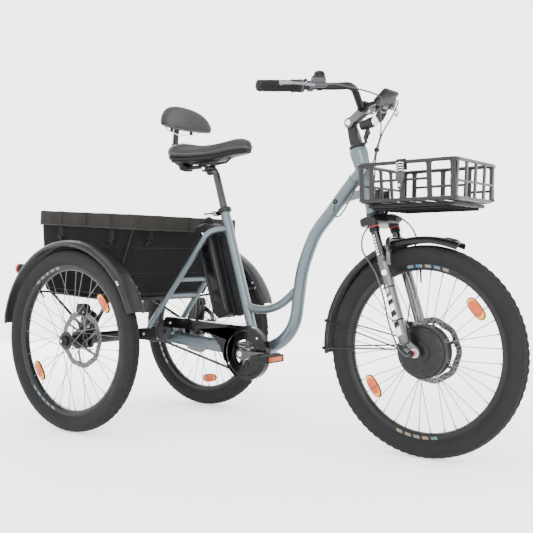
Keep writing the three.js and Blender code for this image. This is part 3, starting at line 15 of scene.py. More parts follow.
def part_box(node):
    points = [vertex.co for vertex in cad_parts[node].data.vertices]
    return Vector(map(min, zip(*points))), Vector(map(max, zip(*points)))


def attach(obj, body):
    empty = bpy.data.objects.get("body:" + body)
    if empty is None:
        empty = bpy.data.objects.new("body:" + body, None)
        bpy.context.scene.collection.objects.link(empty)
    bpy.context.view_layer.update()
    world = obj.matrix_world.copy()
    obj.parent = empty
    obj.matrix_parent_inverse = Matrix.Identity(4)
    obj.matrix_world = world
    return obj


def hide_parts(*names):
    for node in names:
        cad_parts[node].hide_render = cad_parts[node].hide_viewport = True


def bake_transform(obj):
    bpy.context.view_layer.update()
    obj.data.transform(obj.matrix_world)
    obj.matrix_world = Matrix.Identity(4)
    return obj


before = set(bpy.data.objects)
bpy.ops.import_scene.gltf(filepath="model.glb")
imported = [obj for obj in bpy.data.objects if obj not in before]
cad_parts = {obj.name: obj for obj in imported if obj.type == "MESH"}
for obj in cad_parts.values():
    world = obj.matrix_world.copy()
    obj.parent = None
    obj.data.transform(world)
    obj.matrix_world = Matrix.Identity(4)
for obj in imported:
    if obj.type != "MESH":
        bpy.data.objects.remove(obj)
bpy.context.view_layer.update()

tyre_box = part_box("rear_tyre_left")
REAR_AXLE_X = (tyre_box[0][0] + tyre_box[1][0]) / 2 * 1000
print("rear axle at", round(REAR_AXLE_X, 2), "mm in the row's frame")

# %% [markdown]
# ## Measuring lines
# A tricycle has two leaning lines that parts sit along: the steering axis and the seat tube.
# A small function turns "this far ahead, this far up the line" into a point, so a fork leg or
# a battery can be drawn upright and still end up leaning.

# %% Driving sizes and the two leaning lines
WHEELBASE, TRACK_HALF, AXLE_Z = 1162, 350, 315.47
STEER_LEAN, SEAT_LEAN = math.radians(16.5), math.radians(16.2)
HEAD_LOW, CRANK_AXIS = (999, 722), (538, 278)


def on_line(origin, lean, x, y, z):
    c, s = math.cos(lean), math.sin(lean)
    return np.array([origin[0] + x * c - z * s, y, origin[1] + x * s + z * c], float)


def steer(x, y, z):
    return on_line(HEAD_LOW, STEER_LEAN, x, y, z)


def seat(x, y, z):
    return on_line(CRANK_AXIS, SEAT_LEAN, x, y, z)


STEER_UP = steer(0, 0, 1) - steer(0, 0, 0)
STEER_AHEAD = steer(1, 0, 0) - steer(0, 0, 0)
SEAT_UP = seat(0, 0, 1) - seat(0, 0, 0)
Y_AXIS = np.array([0.0, 1, 0])
print("head tube top at", steer(0, 0, 222).round(1))

# %% [markdown]
# ## Four ways to make a shape
# Turned parts come from a profile spun round an axis, tubes from a section carried along a
# path, plates from an outline with depth, and soft or bent skins from a grid of points. Each
# helper returns plain points and faces, so many can be joined into one piece.

# %% Vectors and smooth paths
def unit(a):
    a = np.asarray(a, float)
    return a / np.linalg.norm(a)


def spaced(points, count):
    points = np.asarray(points, float)
    run = np.r_[0, np.cumsum(np.linalg.norm(np.diff(points, axis=0), axis=1))]
    at = np.linspace(0, run[-1], count)
    return np.stack([np.interp(at, run, points[:, k]) for k in range(3)], 1)


def curve(points, count):
    p = [np.asarray(q, float) for q in points]
    p = [2 * p[0] - p[1]] + p + [2 * p[-1] - p[-2]]
    fine = []
    for i in range(1, len(p) - 2):
        a, b, c, d = p[i - 1 : i + 3]
        for t in np.linspace(0, 1, 14, endpoint=False):
            fine.append(0.5 * (2 * b + (c - a) * t + (2 * a - 5 * b + 4 * c - d) * t * t
                               + (3 * b - a - 3 * c + d) * t ** 3))
    return spaced(fine + [p[-2]], count)


def square_to(axis):
    axis = unit(axis)
    other = np.array([0, 0, 1.0]) if abs(axis[2]) < 0.9 else np.array([1.0, 0, 0])
    side = unit(np.cross(other, axis))
    return side, np.cross(axis, side)


print("a curve of 5 points is", len(curve([(0, 0, 0), (1, 0, 1), (2, 0, 0)], 5)), "points")


# %% Rings of points into faces
def skin(rings, wrap=True, close=False, caps=(True, True)):
    """Faces between rings of equal length; wrap joins each ring's ends, close joins last to first."""
    count, size = len(rings), len(rings[0])
    faces = []
    for i in range(count if close else count - 1):
        j = (i + 1) % count
        for k in range(size if wrap else size - 1):
            m = (k + 1) % size
            faces.append((i * size + k, i * size + m, j * size + m, j * size + k))
    if wrap and not close:
        if caps[0]:
            faces.append(tuple(range(size - 1, -1, -1)))
        if caps[1]:
            faces.append(tuple((count - 1) * size + k for k in range(size)))
    return np.concatenate([np.asarray(r, float) for r in rings]), faces


def joined(*parts):
    points, faces, start = [], [], 0
    for part in parts:
        if isinstance(part, list):
            part = joined(*part)
        p, f = part
        points.append(p)
        faces += [tuple(i + start for i in face) for face in f]
        start += len(p)
    return np.concatenate(points), faces


print("a four-sided tube of two rings has", len(skin([[(0, 0, 0)] * 4, [(0, 0, 1)] * 4])[1]), "faces")

# %% Turned, swept, plated and boxed shapes
def lathe(profile, centre=(0, 0, 0), axis=(0, 1, 0), sides=40, loop=False, shape=None):
    """A profile of (radius, along) turned round an axis; shape(i, k) moves one radius."""
    side, up = square_to(axis)
    axis, centre = unit(axis), np.asarray(centre, float)
    rings = []
    for i, (r, a) in enumerate(profile):
        ring = []
        for k in range(sides):
            t = 2 * math.pi * k / sides
            q = r + (shape(i, k) if shape else 0)
            ring.append(centre + axis * a + (side * math.cos(t) + up * math.sin(t)) * max(q, 0.01))
        rings.append(ring)
    return skin(rings, close=loop)


def sweep(path, radius, sides=14, wide=1.0, up=None, ends="round", section=None):
    """A tube along a path. radius is a number or a function of the share along it."""
    path = np.asarray(path, float)
    along = np.gradient(path, axis=0)
    along /= np.linalg.norm(along, axis=1)[:, None]
    size = radius if callable(radius) else (lambda share: radius)
    if section is None:
        turn = [2 * math.pi * k / sides for k in range(sides)]
        section = [(math.cos(t) * wide, math.sin(t)) for t in turn]
    lift = np.asarray(up, float) if up is not None else square_to(along[0])[1]
    rings, count = [], len(path)
    for i in range(count):
        side = unit(np.cross(lift, along[i]))
        top = np.cross(along[i], side)
        if up is None:
            lift = top
        r = size(i / (count - 1))
        rings.append([path[i] + side * a * r + top * b * r for a, b in section])
    if ends == "round":
        first, last = size(0), size(1)
        start = [path[0] + (np.asarray(rings[0]) - path[0]) * k - along[0] * first * d
                 for k, d in ((0.5, 0.42), (0.86, 0.24))]
        stop = [path[-1] + (np.asarray(rings[-1]) - path[-1]) * k + along[-1] * last * d
                for k, d in ((0.86, 0.24), (0.5, 0.42))]
        rings = start + rings + stop
    return skin(rings, caps=(ends != "open", ends != "open"))


def tube(a, b, r, sides=14, ends="flat"):
    return sweep([a, b], r, sides=sides, ends=ends)


def plate(outline, y0, y1, centre=(0, 0), frame_at=None):
    """An outline of (x, z) points with depth from y0 to y1, upright or in a leaning line."""
    place = frame_at or (lambda x, y, z: np.array([x + centre[0], y, z + centre[1]], float))
    rings = [[place(x, y, z) for x, z in outline] for y in (y0, y1)]
    return skin(rings)


def ring_plate(outer, inner, y0, y1, place=None):
    """A plate with one hole; both outlines have the same number of points."""
    place = place or (lambda x, y, z: np.array([x, y, z], float))
    rings = [[place(x, y, z) for x, z in line]
             for line, y in ((outer, y0), (outer, y1), (inner, y1), (inner, y0))]
    return skin(rings, close=True)


def circle(r, sides, centre=(0, 0), start=0.0, stretch=1.0):
    turn = [start + 2 * math.pi * k / sides for k in range(sides)]
    return [(centre[0] + r * stretch * math.cos(t), centre[1] + r * math.sin(t)) for t in turn]


def block(low, high, place=None):
    """A box between two corners, in the row's axes or in a leaning line."""
    place = place or (lambda x, y, z: np.array([x, y, z], float))
    (x0, y0, z0), (x1, y1, z1) = low, high
    rings = [[place(x, y, z) for x, z in ((x0, z0), (x1, z0), (x1, z1), (x0, z1))] for y in (y0, y1)]
    return skin(rings)


def strap(a, b, width, height, up=(0, 0, 1)):
    """A straight bar of rounded rectangular section from a to b; height is measured along up."""
    r = min(width, height) * 0.28
    section = []
    for sx, sy, t0 in ((1, 1, 0), (-1, 1, 90), (-1, -1, 180), (1, -1, 270)):
        for t in (t0, t0 + 45, t0 + 90):
            section.append((sx * (width / 2 - r) + r * math.cos(math.radians(t)),
                            sy * (height / 2 - r) + r * math.sin(math.radians(t))))
    return sweep([a, b], 1.0, up=up, ends="flat", section=section)


def bolt(centre, axis, r=5.0, tall=4.0, socket=True):
    """A button-headed socket screw whose head stands on a face."""
    if socket:
        profile = [(r, 0), (r, tall * 0.5), (r * 0.8, tall * 0.92), (r * 0.52, tall),
                   (r * 0.45, tall), (r * 0.42, tall * 0.4), (0, tall * 0.4)]
    else:
        profile = [(r, 0), (r, tall * 0.6), (r * 0.7, tall), (0, tall * 1.05)]
    return lathe(profile, centre, axis, sides=12)


print("shape helpers ready")

# %% [markdown]
# ## From points to a piece
# A piece is one object with one finish that rides on one body. Making it in one place keeps
# the same care everywhere: faces turned outwards, smooth shading that breaks at true edges,
# and an optional bevel so that no edge is knife sharp.


def piece(name, parts, look, body, stands_for=(), bevel=0.0, smooth=38, soft=0):
    points, faces = joined(*parts) if isinstance(parts, list) else parts
    points = (np.asarray(points) + np.array([REAR_AXLE_X, 0, 0])) * 0.001
    mesh = bpy.data.meshes.new(name)
    mesh.from_pydata([tuple(p) for p in points], [], faces)
    mesh.validate()
    thing = bpy.data.objects.new(name, mesh)
    bpy.context.collection.objects.link(thing)
    bpy.context.view_layer.objects.active = thing
    thing.select_set(True)
    bpy.ops.object.mode_set(mode="EDIT")
    bpy.ops.mesh.select_all(action="SELECT")
    bpy.ops.mesh.normals_make_consistent(inside=False)
    bpy.ops.object.mode_set(mode="OBJECT")
    thing.select_set(False)
    mesh.shade_smooth()
    mesh.set_sharp_from_angle(angle=math.radians(smooth))
    mesh.materials.append(look)
    if bevel:
        edge = thing.modifiers.new("edges", "BEVEL")
        edge.width, edge.segments, edge.limit_method = bevel * 0.001, 2, "ANGLE"
        edge.angle_limit, edge.harden_normals = math.radians(35), True
    if soft:
        sub = thing.modifiers.new("soft", "SUBSURF")
        sub.levels = sub.render_levels = soft
    if body:
        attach(thing, body)
    for node in stands_for:
        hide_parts(node)
    return thing


# %% [markdown]
# ## Finishes
# Real paint, rubber and metal are never one flat value: broad patches differ a little in tone
# and gloss, and a fine grain breaks up the highlight. Each finish therefore sets its even
# values on the shader itself and lets two noises move the colour, the roughness and the bump.

# %% A finish made of nodes
def finish(name, colour, rough, metal=0.0, coat=0.0, mottle=0.08, vary=0.07, grain=1200.0,
           bump=0.15, depth=0.00006, stretch=(1, 1, 1), sheen=0.0, broad=14.0, shine=0.5):
    look = bpy.data.materials.new(name)
    look.use_nodes = True
    look.diffuse_color = (*colour, 1)
    nodes, links = look.node_tree.nodes, look.node_tree.links
    shader = nodes["Principled BSDF"]
    shader.inputs["Metallic"].default_value = metal
    shader.inputs["Coat Weight"].default_value = coat
    shader.inputs["Coat Roughness"].default_value = 0.08
    shader.inputs["Sheen Weight"].default_value = sheen
    shader.inputs["Specular IOR Level"].default_value = shine
    where = nodes.new("ShaderNodeTexCoord")
    place = nodes.new("ShaderNodeMapping")
    place.inputs["Scale"].default_value = stretch
    links.new(where.outputs["Object"], place.inputs["Vector"])
    patches, fine = nodes.new("ShaderNodeTexNoise"), nodes.new("ShaderNodeTexNoise")
    patches.inputs["Scale"].default_value, patches.inputs["Detail"].default_value = broad, 6
    fine.inputs["Scale"].default_value, fine.inputs["Detail"].default_value = grain, 4
    links.new(where.outputs["Object"], patches.inputs["Vector"])
    links.new(place.outputs["Vector"], fine.inputs["Vector"])
    tone = nodes.new("ShaderNodeValToRGB")
    tone.color_ramp.elements[0].position, tone.color_ramp.elements[1].position = 0.32, 0.68
    tone.color_ramp.elements[0].color = (*[c * (1 - mottle) for c in colour], 1)
    tone.color_ramp.elements[1].color = (*[min(1, c * (1 + mottle)) for c in colour], 1)
    links.new(patches.outputs["Fac"], tone.inputs["Fac"])
    links.new(tone.outputs["Color"], shader.inputs["Base Color"])
    gloss = nodes.new("ShaderNodeMapRange")
    gloss.inputs["From Min"].default_value, gloss.inputs["From Max"].default_value = 0.3, 0.7
    gloss.inputs["To Min"].default_value = max(0.02, rough - vary)
    gloss.inputs["To Max"].default_value = min(1, rough + vary)
    links.new(patches.outputs["Fac"], gloss.inputs["Value"])
    links.new(gloss.outputs["Result"], shader.inputs["Roughness"])
    relief = nodes.new("ShaderNodeBump")
    relief.inputs["Strength"].default_value = bump
    relief.inputs["Distance"].default_value = depth
    links.new(fine.outputs["Fac"], relief.inputs["Height"])
    links.new(relief.outputs["Normal"], shader.inputs["Normal"])
    return look


def woven(look, pitch, strength=0.5, depth=0.0003):
    """Swap a finish's grain for two crossed sets of threads, pitch metres apart."""
    nodes, links = look.node_tree.nodes, look.node_tree.links
    where = next(n for n in nodes if n.type == "TEX_COORD")
    relief = next(n for n in nodes if n.type == "BUMP")
    threads = []
    for way in ("X", "Y", "Z"):
        wave = nodes.new("ShaderNodeTexWave")
        wave.bands_direction = way
        wave.inputs["Scale"].default_value = 0.314 / pitch
        wave.inputs["Distortion"].default_value = 0.6
        links.new(where.outputs["Object"], wave.inputs["Vector"])
        threads.append(wave.outputs["Fac"])
    both = nodes.new("ShaderNodeMath")
    both.operation = "MULTIPLY"
    all_three = nodes.new("ShaderNodeMath")
    all_three.operation = "ADD"
    links.new(threads[0], both.inputs[0])
    links.new(threads[2], both.inputs[1])
    links.new(both.outputs[0], all_three.inputs[0])
    links.new(threads[1], all_three.inputs[1])
    links.new(all_three.outputs[0], relief.inputs["Height"])
    relief.inputs["Strength"].default_value = strength
    relief.inputs["Distance"].default_value = depth
    return look


def lens(name, colour, rough=0.12):
    look = finish(name, colour, rough, coat=0.2, mottle=0.12, vary=0.04, grain=600, bump=0.3, shine=0.3)
    shader = look.node_tree.nodes["Principled BSDF"]
    shader.inputs["Transmission Weight"].default_value = 0.08
    shader.inputs["IOR"].default_value = 1.49
    return look


FRAME_PAINT = finish("frame_paint", (0.062, 0.084, 0.093), 0.33, metal=0.45, coat=0.25, grain=2600, bump=0.08)
SATIN_BLACK = finish("satin_black_paint", (0.004, 0.0041, 0.0045), 0.4, coat=0.05, grain=2200,
                     bump=0.12, shine=0.2)
GLOSS_BLACK = finish("gloss_black", (0.0025, 0.0025, 0.003), 0.12, coat=0.04, vary=0.03, grain=800,
                     bump=0.03, shine=0.14)
PLASTIC = finish("moulded_plastic", (0.005, 0.0052, 0.006), 0.5, grain=1900, bump=0.35, shine=0.14)
RUBBER = finish("tyre_rubber", (0.0095, 0.0097, 0.0103), 0.72, mottle=0.2, vary=0.1, grain=900,
                bump=0.4, shine=0.12)
GRIP = finish("grip_rubber", (0.008, 0.008, 0.0085), 0.66, mottle=0.15, grain=1600, bump=0.5, shine=0.15)
STEEL = finish("brushed_steel", (0.42, 0.43, 0.44), 0.3, metal=1, grain=900, bump=0.25, stretch=(1, 6, 1))
CHROME = finish("chrome", (0.72, 0.73, 0.75), 0.09, metal=1, vary=0.04, mottle=0.04, grain=500, bump=0.03)
ALLOY = finish("cast_alloy", (0.17, 0.173, 0.178), 0.34, metal=0.95, grain=1500, bump=0.3)
DARK_STEEL = finish("dark_steel", (0.05, 0.05, 0.053), 0.38, metal=0.9, grain=1500, bump=0.3)
WIRE_STEEL = finish("wire_steel", (0.11, 0.11, 0.115), 0.42, metal=0.8, grain=1500, bump=0.2)
BLACK_CHROME = finish("black_chrome", (0.03, 0.03, 0.033), 0.14, metal=0.9, vary=0.03, grain=600, bump=0.04)
print("finishes so far:", [m.name for m in bpy.data.materials if m.use_nodes][-10:])

# %% Softer and clearer finishes
FABRIC = woven(finish("bag_fabric", (0.0042, 0.0042, 0.0045), 0.86, mottle=0.18, sheen=0.02,
                      shine=0.08), 0.0011, 0.6)
COVER_FABRIC = woven(finish("cover_fabric", (0.0125, 0.0112, 0.0095), 0.8, mottle=0.16, sheen=0.03,
                            shine=0.12), 0.0011, 0.5)
BINDING = woven(finish("binding_tape", (0.008, 0.008, 0.0085), 0.75, mottle=0.1, sheen=0.05,
                       shine=0.25), 0.0016, 0.6)
VINYL = finish("saddle_vinyl", (0.0095, 0.0097, 0.0104), 0.44, mottle=0.12, vary=0.08, grain=420, bump=0.35,
               depth=0.00015, sheen=0.02, shine=0.25)
STITCH = finish("stitching", (0.03, 0.03, 0.032), 0.7, mottle=0.2, grain=1500, bump=0.4)
AMBER = lens("amber_lens", (0.42, 0.05, 0.0))
YELLOW = lens("yellow_lens", (0.6, 0.27, 0.0))
RED = lens("red_lens", (0.55, 0.012, 0.016))
CLEAR = lens("clear_lens", (0.75, 0.78, 0.8))
SCREEN = finish("screen_glass", (0.006, 0.007, 0.01), 0.08, coat=1, vary=0.02, grain=300, bump=0.01)
RED_PLASTIC = finish("red_plastic", (0.5, 0.02, 0.02), 0.4, grain=1500, bump=0.2)
WHITE = finish("white_paint", (0.7, 0.71, 0.72), 0.4, mottle=0.05, grain=1200, bump=0.15)
GREY_PLASTIC = finish("grey_plastic", (0.035, 0.036, 0.039), 0.5, metal=0.1, grain=1700, bump=0.3, shine=0.25)
print(len([m for m in bpy.data.materials if m.use_nodes]), "finishes")

# %% [markdown]
# ## Wheels
# All three wheels take the same 24 inch tyre. The tyre is one profile spun round the axle;
# its shoulder blocks come from pushing every third step of the profile inwards, the way a
# mould leaves gaps between blocks. The spin is fine enough that the outline reads as round.

# %% Tyre
CROWN = [(288, 28), (297, 27.4), (304.5, 24.6), (309, 21), (312, 16.5), (313.6, 11.5), (313.9, 8),
         (312.6, 7.2), (312.7, 5.2), (315, 4.4), (315.3, 1.6), (313.9, 1.0)]
SIDEWALL = [(257.5, 13.4), (262, 15.4), (268, 20.4), (276, 25.2), (282, 27.3)]
OUTER_HALF = SIDEWALL + CROWN
INNER = [(252.5, 12.6), (252.5, 9), (262, 11), (274, 20), (290, 23.4), (303, 18), (308.5, 8)]
TYRE_PROFILE = ([(r, a) for r, a in OUTER_HALF] + [(r, -a) for r, a in reversed(OUTER_HALF)]
                + [(r, -a) for r, a in INNER] + [(r, a) for r, a in reversed(INNER)])
HALF = len(OUTER_HALF)
TREAD_STEPS = 234


def tread_gap(i, k):
    j = i if i < HALF else 2 * HALF - 1 - i
    if i >= 2 * HALF or not 8 <= j <= 15:
        return 0.0
    shift = 0 if i < HALF else 1
    if j <= 11:
        return -2.4 if (k + shift) % 3 == 0 else 0.0
    return -1.6 if (k + shift + j // 13) % 3 == 1 else 0.0


def tyre(centre):
    return lathe(TYRE_PROFILE, centre, sides=TREAD_STEPS, loop=True, shape=tread_gap)


WHEELS = {
    "front": ((WHEELBASE, 0, AXLE_Z), "front_wheel"),
    "rear_right": ((0, -TRACK_HALF, AXLE_Z), "rear_wheel_right"),
    "rear_left": ((0, TRACK_HALF, AXLE_Z), "rear_wheel_left"),
}
TYRE_NODE = {"front": "front_tyre", "rear_right": "rear_tyre_right", "rear_left": "rear_tyre_left"}
for word, (centre, body) in WHEELS.items():
    piece("tyre_" + word, tyre(centre), RUBBER, body, [TYRE_NODE[word]], smooth=28)

# %% [markdown]
# The rim is a double-walled ring. Thirty-six spokes leave the hub's flanges at a slant and
# cross their neighbours on the way out, because a slanted spoke can pull the rim round as
# well as hold it up. Each ends in a small square nipple at the rim.

# %% Rim, spokes, nipples and valve
RIM_PROFILE = [(259.3, 13.3), (259.8, 14.6), (258.5, 15), (251, 15), (246.5, 13.6), (242.5, 9.5), (240.5, 4),
               (240.5, -4), (242.5, -9.5), (246.5, -13.6), (251, -15), (258.5, -15), (259.8, -14.6),
               (259.3, -13.3), (251, -13), (248, -10), (248, 10), (251, 13)]


def round_wheel(centre, angle, r, y):
    return np.array([centre[0] + r * math.cos(angle), centre[1] + y, centre[2] + r * math.sin(angle)])


def lacing(centre, hub_r, hub_y, slant, count=36):
    wires, nipples = [], []
    for i in range(count):
        side = 1 if i % 2 == 0 else -1
        lean = slant if (i // 2) % 2 == 0 else -slant
        angle = 2 * math.pi * (i + 0.5) / count
        a = round_wheel(centre, angle + lean, hub_r, side * hub_y)
        b = round_wheel(centre, angle, 241, side * 3.5)
        along = unit(b - a)
        wires.append(sweep([a, b - along * 9], 1.25, sides=6, ends="flat"))
        nipples.append(sweep([b - along * 12, b - along * 3, b + along * 2],
                             lambda s: 1.9 if s < 0.6 else 2.7, sides=6, ends="flat"))
    return wires, nipples


RIM_NODE = {"front": "front_rim", "rear_right": "rear_rim_right", "rear_left": "rear_rim_left"}
for word, (centre, body) in WHEELS.items():
    rim = lathe(RIM_PROFILE, centre, sides=120, loop=True)
    piece("rim_" + word, rim, SATIN_BLACK, body, [RIM_NODE[word]])
    front = word == "front"
    wires, nipples = lacing(centre, 76 if front else 29, 17 if front else 25, 0.16 if front else 0.95)
    piece("spokes_" + word, wires, WIRE_STEEL, body)
    piece("nipples_" + word, nipples, WIRE_STEEL, body)
    valve_angle = 1.62 if front else 2.36
    foot, tip = (round_wheel(centre, valve_angle, r, 0) for r in (243, 205))
    piece("valve_" + word, [sweep([foot, foot * 0.75 + tip * 0.25, tip * 0.9 + foot * 0.1, tip],
                                  lambda s: 4.2 if s < 0.3 else 2.8, sides=10)], PLASTIC, body)

# %% [markdown]
# Reflectors clip between the spokes, two to a wheel. The block of colour bars on the rim's
# side stands in for a maker's transfer with plain slanted stripes, and carries no lettering.

# %% Reflectors and plain rim stripes
RAINBOW = finish("rim_stripe_foil", (0.1, 0.1, 0.1), 0.3, metal=0.6, broad=40, grain=300, bump=0.02,
                 shine=0.2)
tints = next(n for n in RAINBOW.node_tree.nodes if n.type == "VALTORGB").color_ramp.elements
tints[0].color, tints[1].color = (0.02, 0.1, 0.16, 1), (0.2, 0.13, 0.05, 1)


def oval_reflector(centre, angle, y, long_side, short_side, thick, r=208, keep=(-1, 1)):
    middle = round_wheel(centre, angle, r, y)
    out = unit(round_wheel(centre, angle, 1, 0) - np.asarray(centre))
    along = np.cross(out, Y_AXIS)
    rings = []
    for share, depth in ((0.9, 0), (1, 0.25), (1, 0.75), (0.9, 1), (0.5, 1.12)):
        ring = []
        for k in range(28):
            t = 2 * math.pi * k / 28
            x = math.copysign(abs(math.cos(t)) ** 0.75, math.cos(t)) * long_side / 2
            x = min(max(x, keep[0] * long_side / 2), keep[1] * long_side / 2)
            z = math.copysign(abs(math.sin(t)) ** 0.8, math.sin(t)) * short_side / 2
            ring.append(middle + (along * x + out * z) * share + Y_AXIS * (depth - 0.5) * thick)
        rings.append(ring)
    return skin(rings)


def arc_patch(centre, a0, a1, r0, r1, y0, y1, slant=0.0, steps=6):
    rings = []
    for k in range(steps + 1):
        t = a0 + (a1 - a0) * k / steps
        rings.append([round_wheel(centre, t, r0, y0), round_wheel(centre, t + slant, r1, y0),
                      round_wheel(centre, t + slant, r1, y1), round_wheel(centre, t, r0, y1)])
    return skin(rings)


REFLECTOR_ANGLES = {"front": (39, 214), "rear_right": (39, 214), "rear_left": (98, 276)}
STRIPE_STARTS = {"front": (70, 250), "rear_right": (100, 222), "rear_left": (188, 8)}
for word, (centre, body) in WHEELS.items():
    backs, ambers, yellows, foils = [], [], [], []
    for angle in [math.radians(a) for a in REFLECTOR_ANGLES[word]]:
        backs.append(oval_reflector(centre, angle, 0, 76, 34, 7))
        for way in (-1, 1):
            ambers.append(oval_reflector(centre, angle, way * 4.2, 52, 29, 3))
            yellows.append(oval_reflector(centre, angle, way * 3.9, 71, 30, 2))
    for start in STRIPE_STARTS[word]:
        for n in range(5):
            a0 = math.radians(start + n * 6.5)
            for way in (-1, 1):
                foils.append(arc_patch(centre, a0, a0 + 0.075, 249, 257.5, way * 14.8, way * 15.25, 0.012))
    piece("reflector_backs_" + word, backs, PLASTIC, body)
    piece("reflector_ambers_" + word, ambers, AMBER, body)
    piece("reflector_ends_" + word, yellows, YELLOW, body)
    piece("rim_stripes_" + word, foils, RAINBOW, body)
print("reflectors and stripes on", len(WHEELS), "wheels")

# %% [markdown]
# ## Hubs and brake discs
# The front wheel is driven by a motor in its hub: a shallow dished drum with a ring of small
# screws. A brake disc is cut from sheet steel, with a wavy edge to shed heat and water and
# rows of slots that clear the pads; here the slots are dark inlays, painted shade, not holes.
# One disc outline serves all three wheels.

# %% Brake disc
def wavy_disc(centre, y0, y1, seat_r):
    steps = 180
    wave = lambda base, swing: [(centre[0] + (base + swing * math.cos(9 * t)) * math.cos(t),
                                 centre[2] + (base + swing * math.cos(9 * t)) * math.sin(t))
                                for t in np.linspace(0, 2 * math.pi, steps, endpoint=False)]
    band = ring_plate(wave(99.5, 1.6), wave(80.5, 2.4), y0, y1)
    eye = ring_plate(circle(seat_r, 60, (centre[0], centre[2])),
                     circle(seat_r - 12, 60, (centre[0], centre[2])), y0, y1)
    arms = []
    for n in range(6):
        a = 2 * math.pi * n / 6
        path = [(seat_r - 4, a), (seat_r + 12, a + 0.16), (66, a + 0.34), (84, a + 0.42)]
        points = [np.array([centre[0] + r * math.cos(t), (y0 + y1) / 2, centre[2] + r * math.sin(t)])
                  for r, t in path]
        section = [(-(y1 - y0) / 2, -4), ((y1 - y0) / 2, -4), ((y1 - y0) / 2, 4), (-(y1 - y0) / 2, 4)]
        section = [(b, a2) for a2, b in section]
        arms.append(sweep(curve(points, 9), 1.0, up=Y_AXIS, ends="flat", section=section))
    return [band, eye] + arms


def disc_slots(centre, y0, y1):
    """Dark oval inlays on both faces of the braking band: painted shade standing in for the slots cut through
    it.
    """
    marks = []
    for n in range(27):
        for row, r in enumerate((86, 93)):
            t = 2 * math.pi * (n + 0.5 * row) / 27
            a = np.array([centre[0] + (r - 2.6) * math.cos(t - 0.02), 0,
                          centre[2] + (r - 2.6) * math.sin(t - 0.02)])
            b = np.array([centre[0] + (r + 2.6) * math.cos(t + 0.02), 0,
                          centre[2] + (r + 2.6) * math.sin(t + 0.02)])
            for y in (y0 - 0.08, y1 + 0.08):
                marks.append(sweep([a + Y_AXIS * y, b + Y_AXIS * y], 1.7, sides=8, up=Y_AXIS, ends="round"))
    flat = []
    for points, faces in marks:
        y = points[:, 1].mean()
        points[:, 1] = y + (points[:, 1] - y) * 0.05
        flat.append((points, faces))
    return flat


print("a disc is", len(wavy_disc(WHEELS["front"][0], 40, 42, 32)), "parts before they are joined")

# %% Motor hub with its cover, screws and axle seats
front = WHEELS["front"][0]
motor = lathe([(0, -34), (26, -34), (30, -32.5), (31, -30), (52, -29), (66, -27.5), (71, -25),
               (73.5, -21), (79.5, -20.5),
               (80, -17), (77, -15.5), (77, 15.5), (80, 17), (79.5, 20.5), (73, 22), (69, 27),
               (40, 28.5), (25, 30),
               (24, 39.5), (0, 39.5)], front, sides=96)
piece("motor_shell", motor, SATIN_BLACK, "front_wheel", ["front_hub_motor"])
screws = [bolt(round_wheel(front, 2 * math.pi * n / 12, 64, -27.4), (0, -1, 0), 2.9, 2.2) for n in range(12)]
screws += [bolt(round_wheel(front, 2 * math.pi * n / 6 + 0.2, 26, 41.9), (0, 1, 0), 4.2, 3) for n in range(6)]
piece("motor_screws", screws, DARK_STEEL, "front_wheel")
piece("motor_seam", lathe([(70.5, -25.4), (71.6, -25.6), (72, -24.2)], front, sides=96, loop=True),
      DARK_STEEL,
      "front_wheel")
piece("brake_disc_front", wavy_disc(front, 40, 42, 32), WIRE_STEEL, "front_wheel")
# Dark inlays on the front disc: painted shade in place of its slots.
piece("disc_slots_front", disc_slots(front, 40, 42), PLASTIC, "front_wheel")

# %% Rear hubs with their shafts
HUB_NODE = {"rear_right": "rear_hub_right", "rear_left": "rear_hub_left"}
for word, way in (("rear_right", -1), ("rear_left", 1)):
    centre, body = WHEELS[word]
    reach = -150 if way < 0 else 50 - 22 - 350
    profile = [(0, reach), (10, reach), (10, -46), (21, -46), (21, -39), (17.5, -37), (17.5, -29),
               (31, -27.5),
               (31.5, -25), (31, -22.5), (18, -20), (16, -8), (16, 8), (18, 20), (31, 22.5), (31.5, 25),
               (31, 27.5),
               (18.5, 29.5), (18.5, 40), (16, 43.5), (10, 45.6), (0, 45.8)]
    shell = lathe([(r, a * way) for r, a in profile], centre, sides=48)
    piece("hub_shell_" + word, shell, SATIN_BLACK, body, [HUB_NODE[word]])
    y0, y1 = sorted((centre[1] - way * 46, centre[1] - way * 44))
    piece("brake_disc_" + word, wavy_disc(centre, y0, y1, 31), WIRE_STEEL, body)
    # Dark inlays on each rear disc: painted shade in place of its slots.
    piece("disc_slots_" + word, disc_slots(centre, y0, y1), PLASTIC, body)
    cap = lathe([(13.5, 45.9 * way), (12.5, 47.4 * way), (0, 48 * way)], centre, sides=32)
    piece("hub_cap_" + word, cap, PLASTIC, body)
    piece("hub_nut_" + word, bolt(round_wheel(centre, 0, 0, 47.8 * way), (0, way, 0), 6.5, 3.5), STEEL,
          body)
    heads = [bolt(round_wheel(centre, 2 * math.pi * n / 6, 26, -46.2 * way), (0, -way, 0), 4, 3)
             for n in range(6)]
    piece("disc_bolts_" + word, heads, STEEL, body)

# %% [markdown]
# ## The welded frame
# The frame is a step-through: one thick tube swoops from the head tube down and back to the
# cranks, and a short brace ties it to the seat tube. Where tubes meet, a row of small weld
# ripples shows through the paint, so each joint gets a thin rippled ring.

# %% Head tube and headset
def weld(centre, axis, r):
    ripple = lambda i, k: (0.7 if k % 2 else 0.0) if i in (1, 2) else 0.0
    return lathe([(r - 1.5, -3), (r + 1.3, -1.2), (r + 1.3, 1.2), (r - 1.5, 3)], centre, axis, 44, True,
                 ripple)


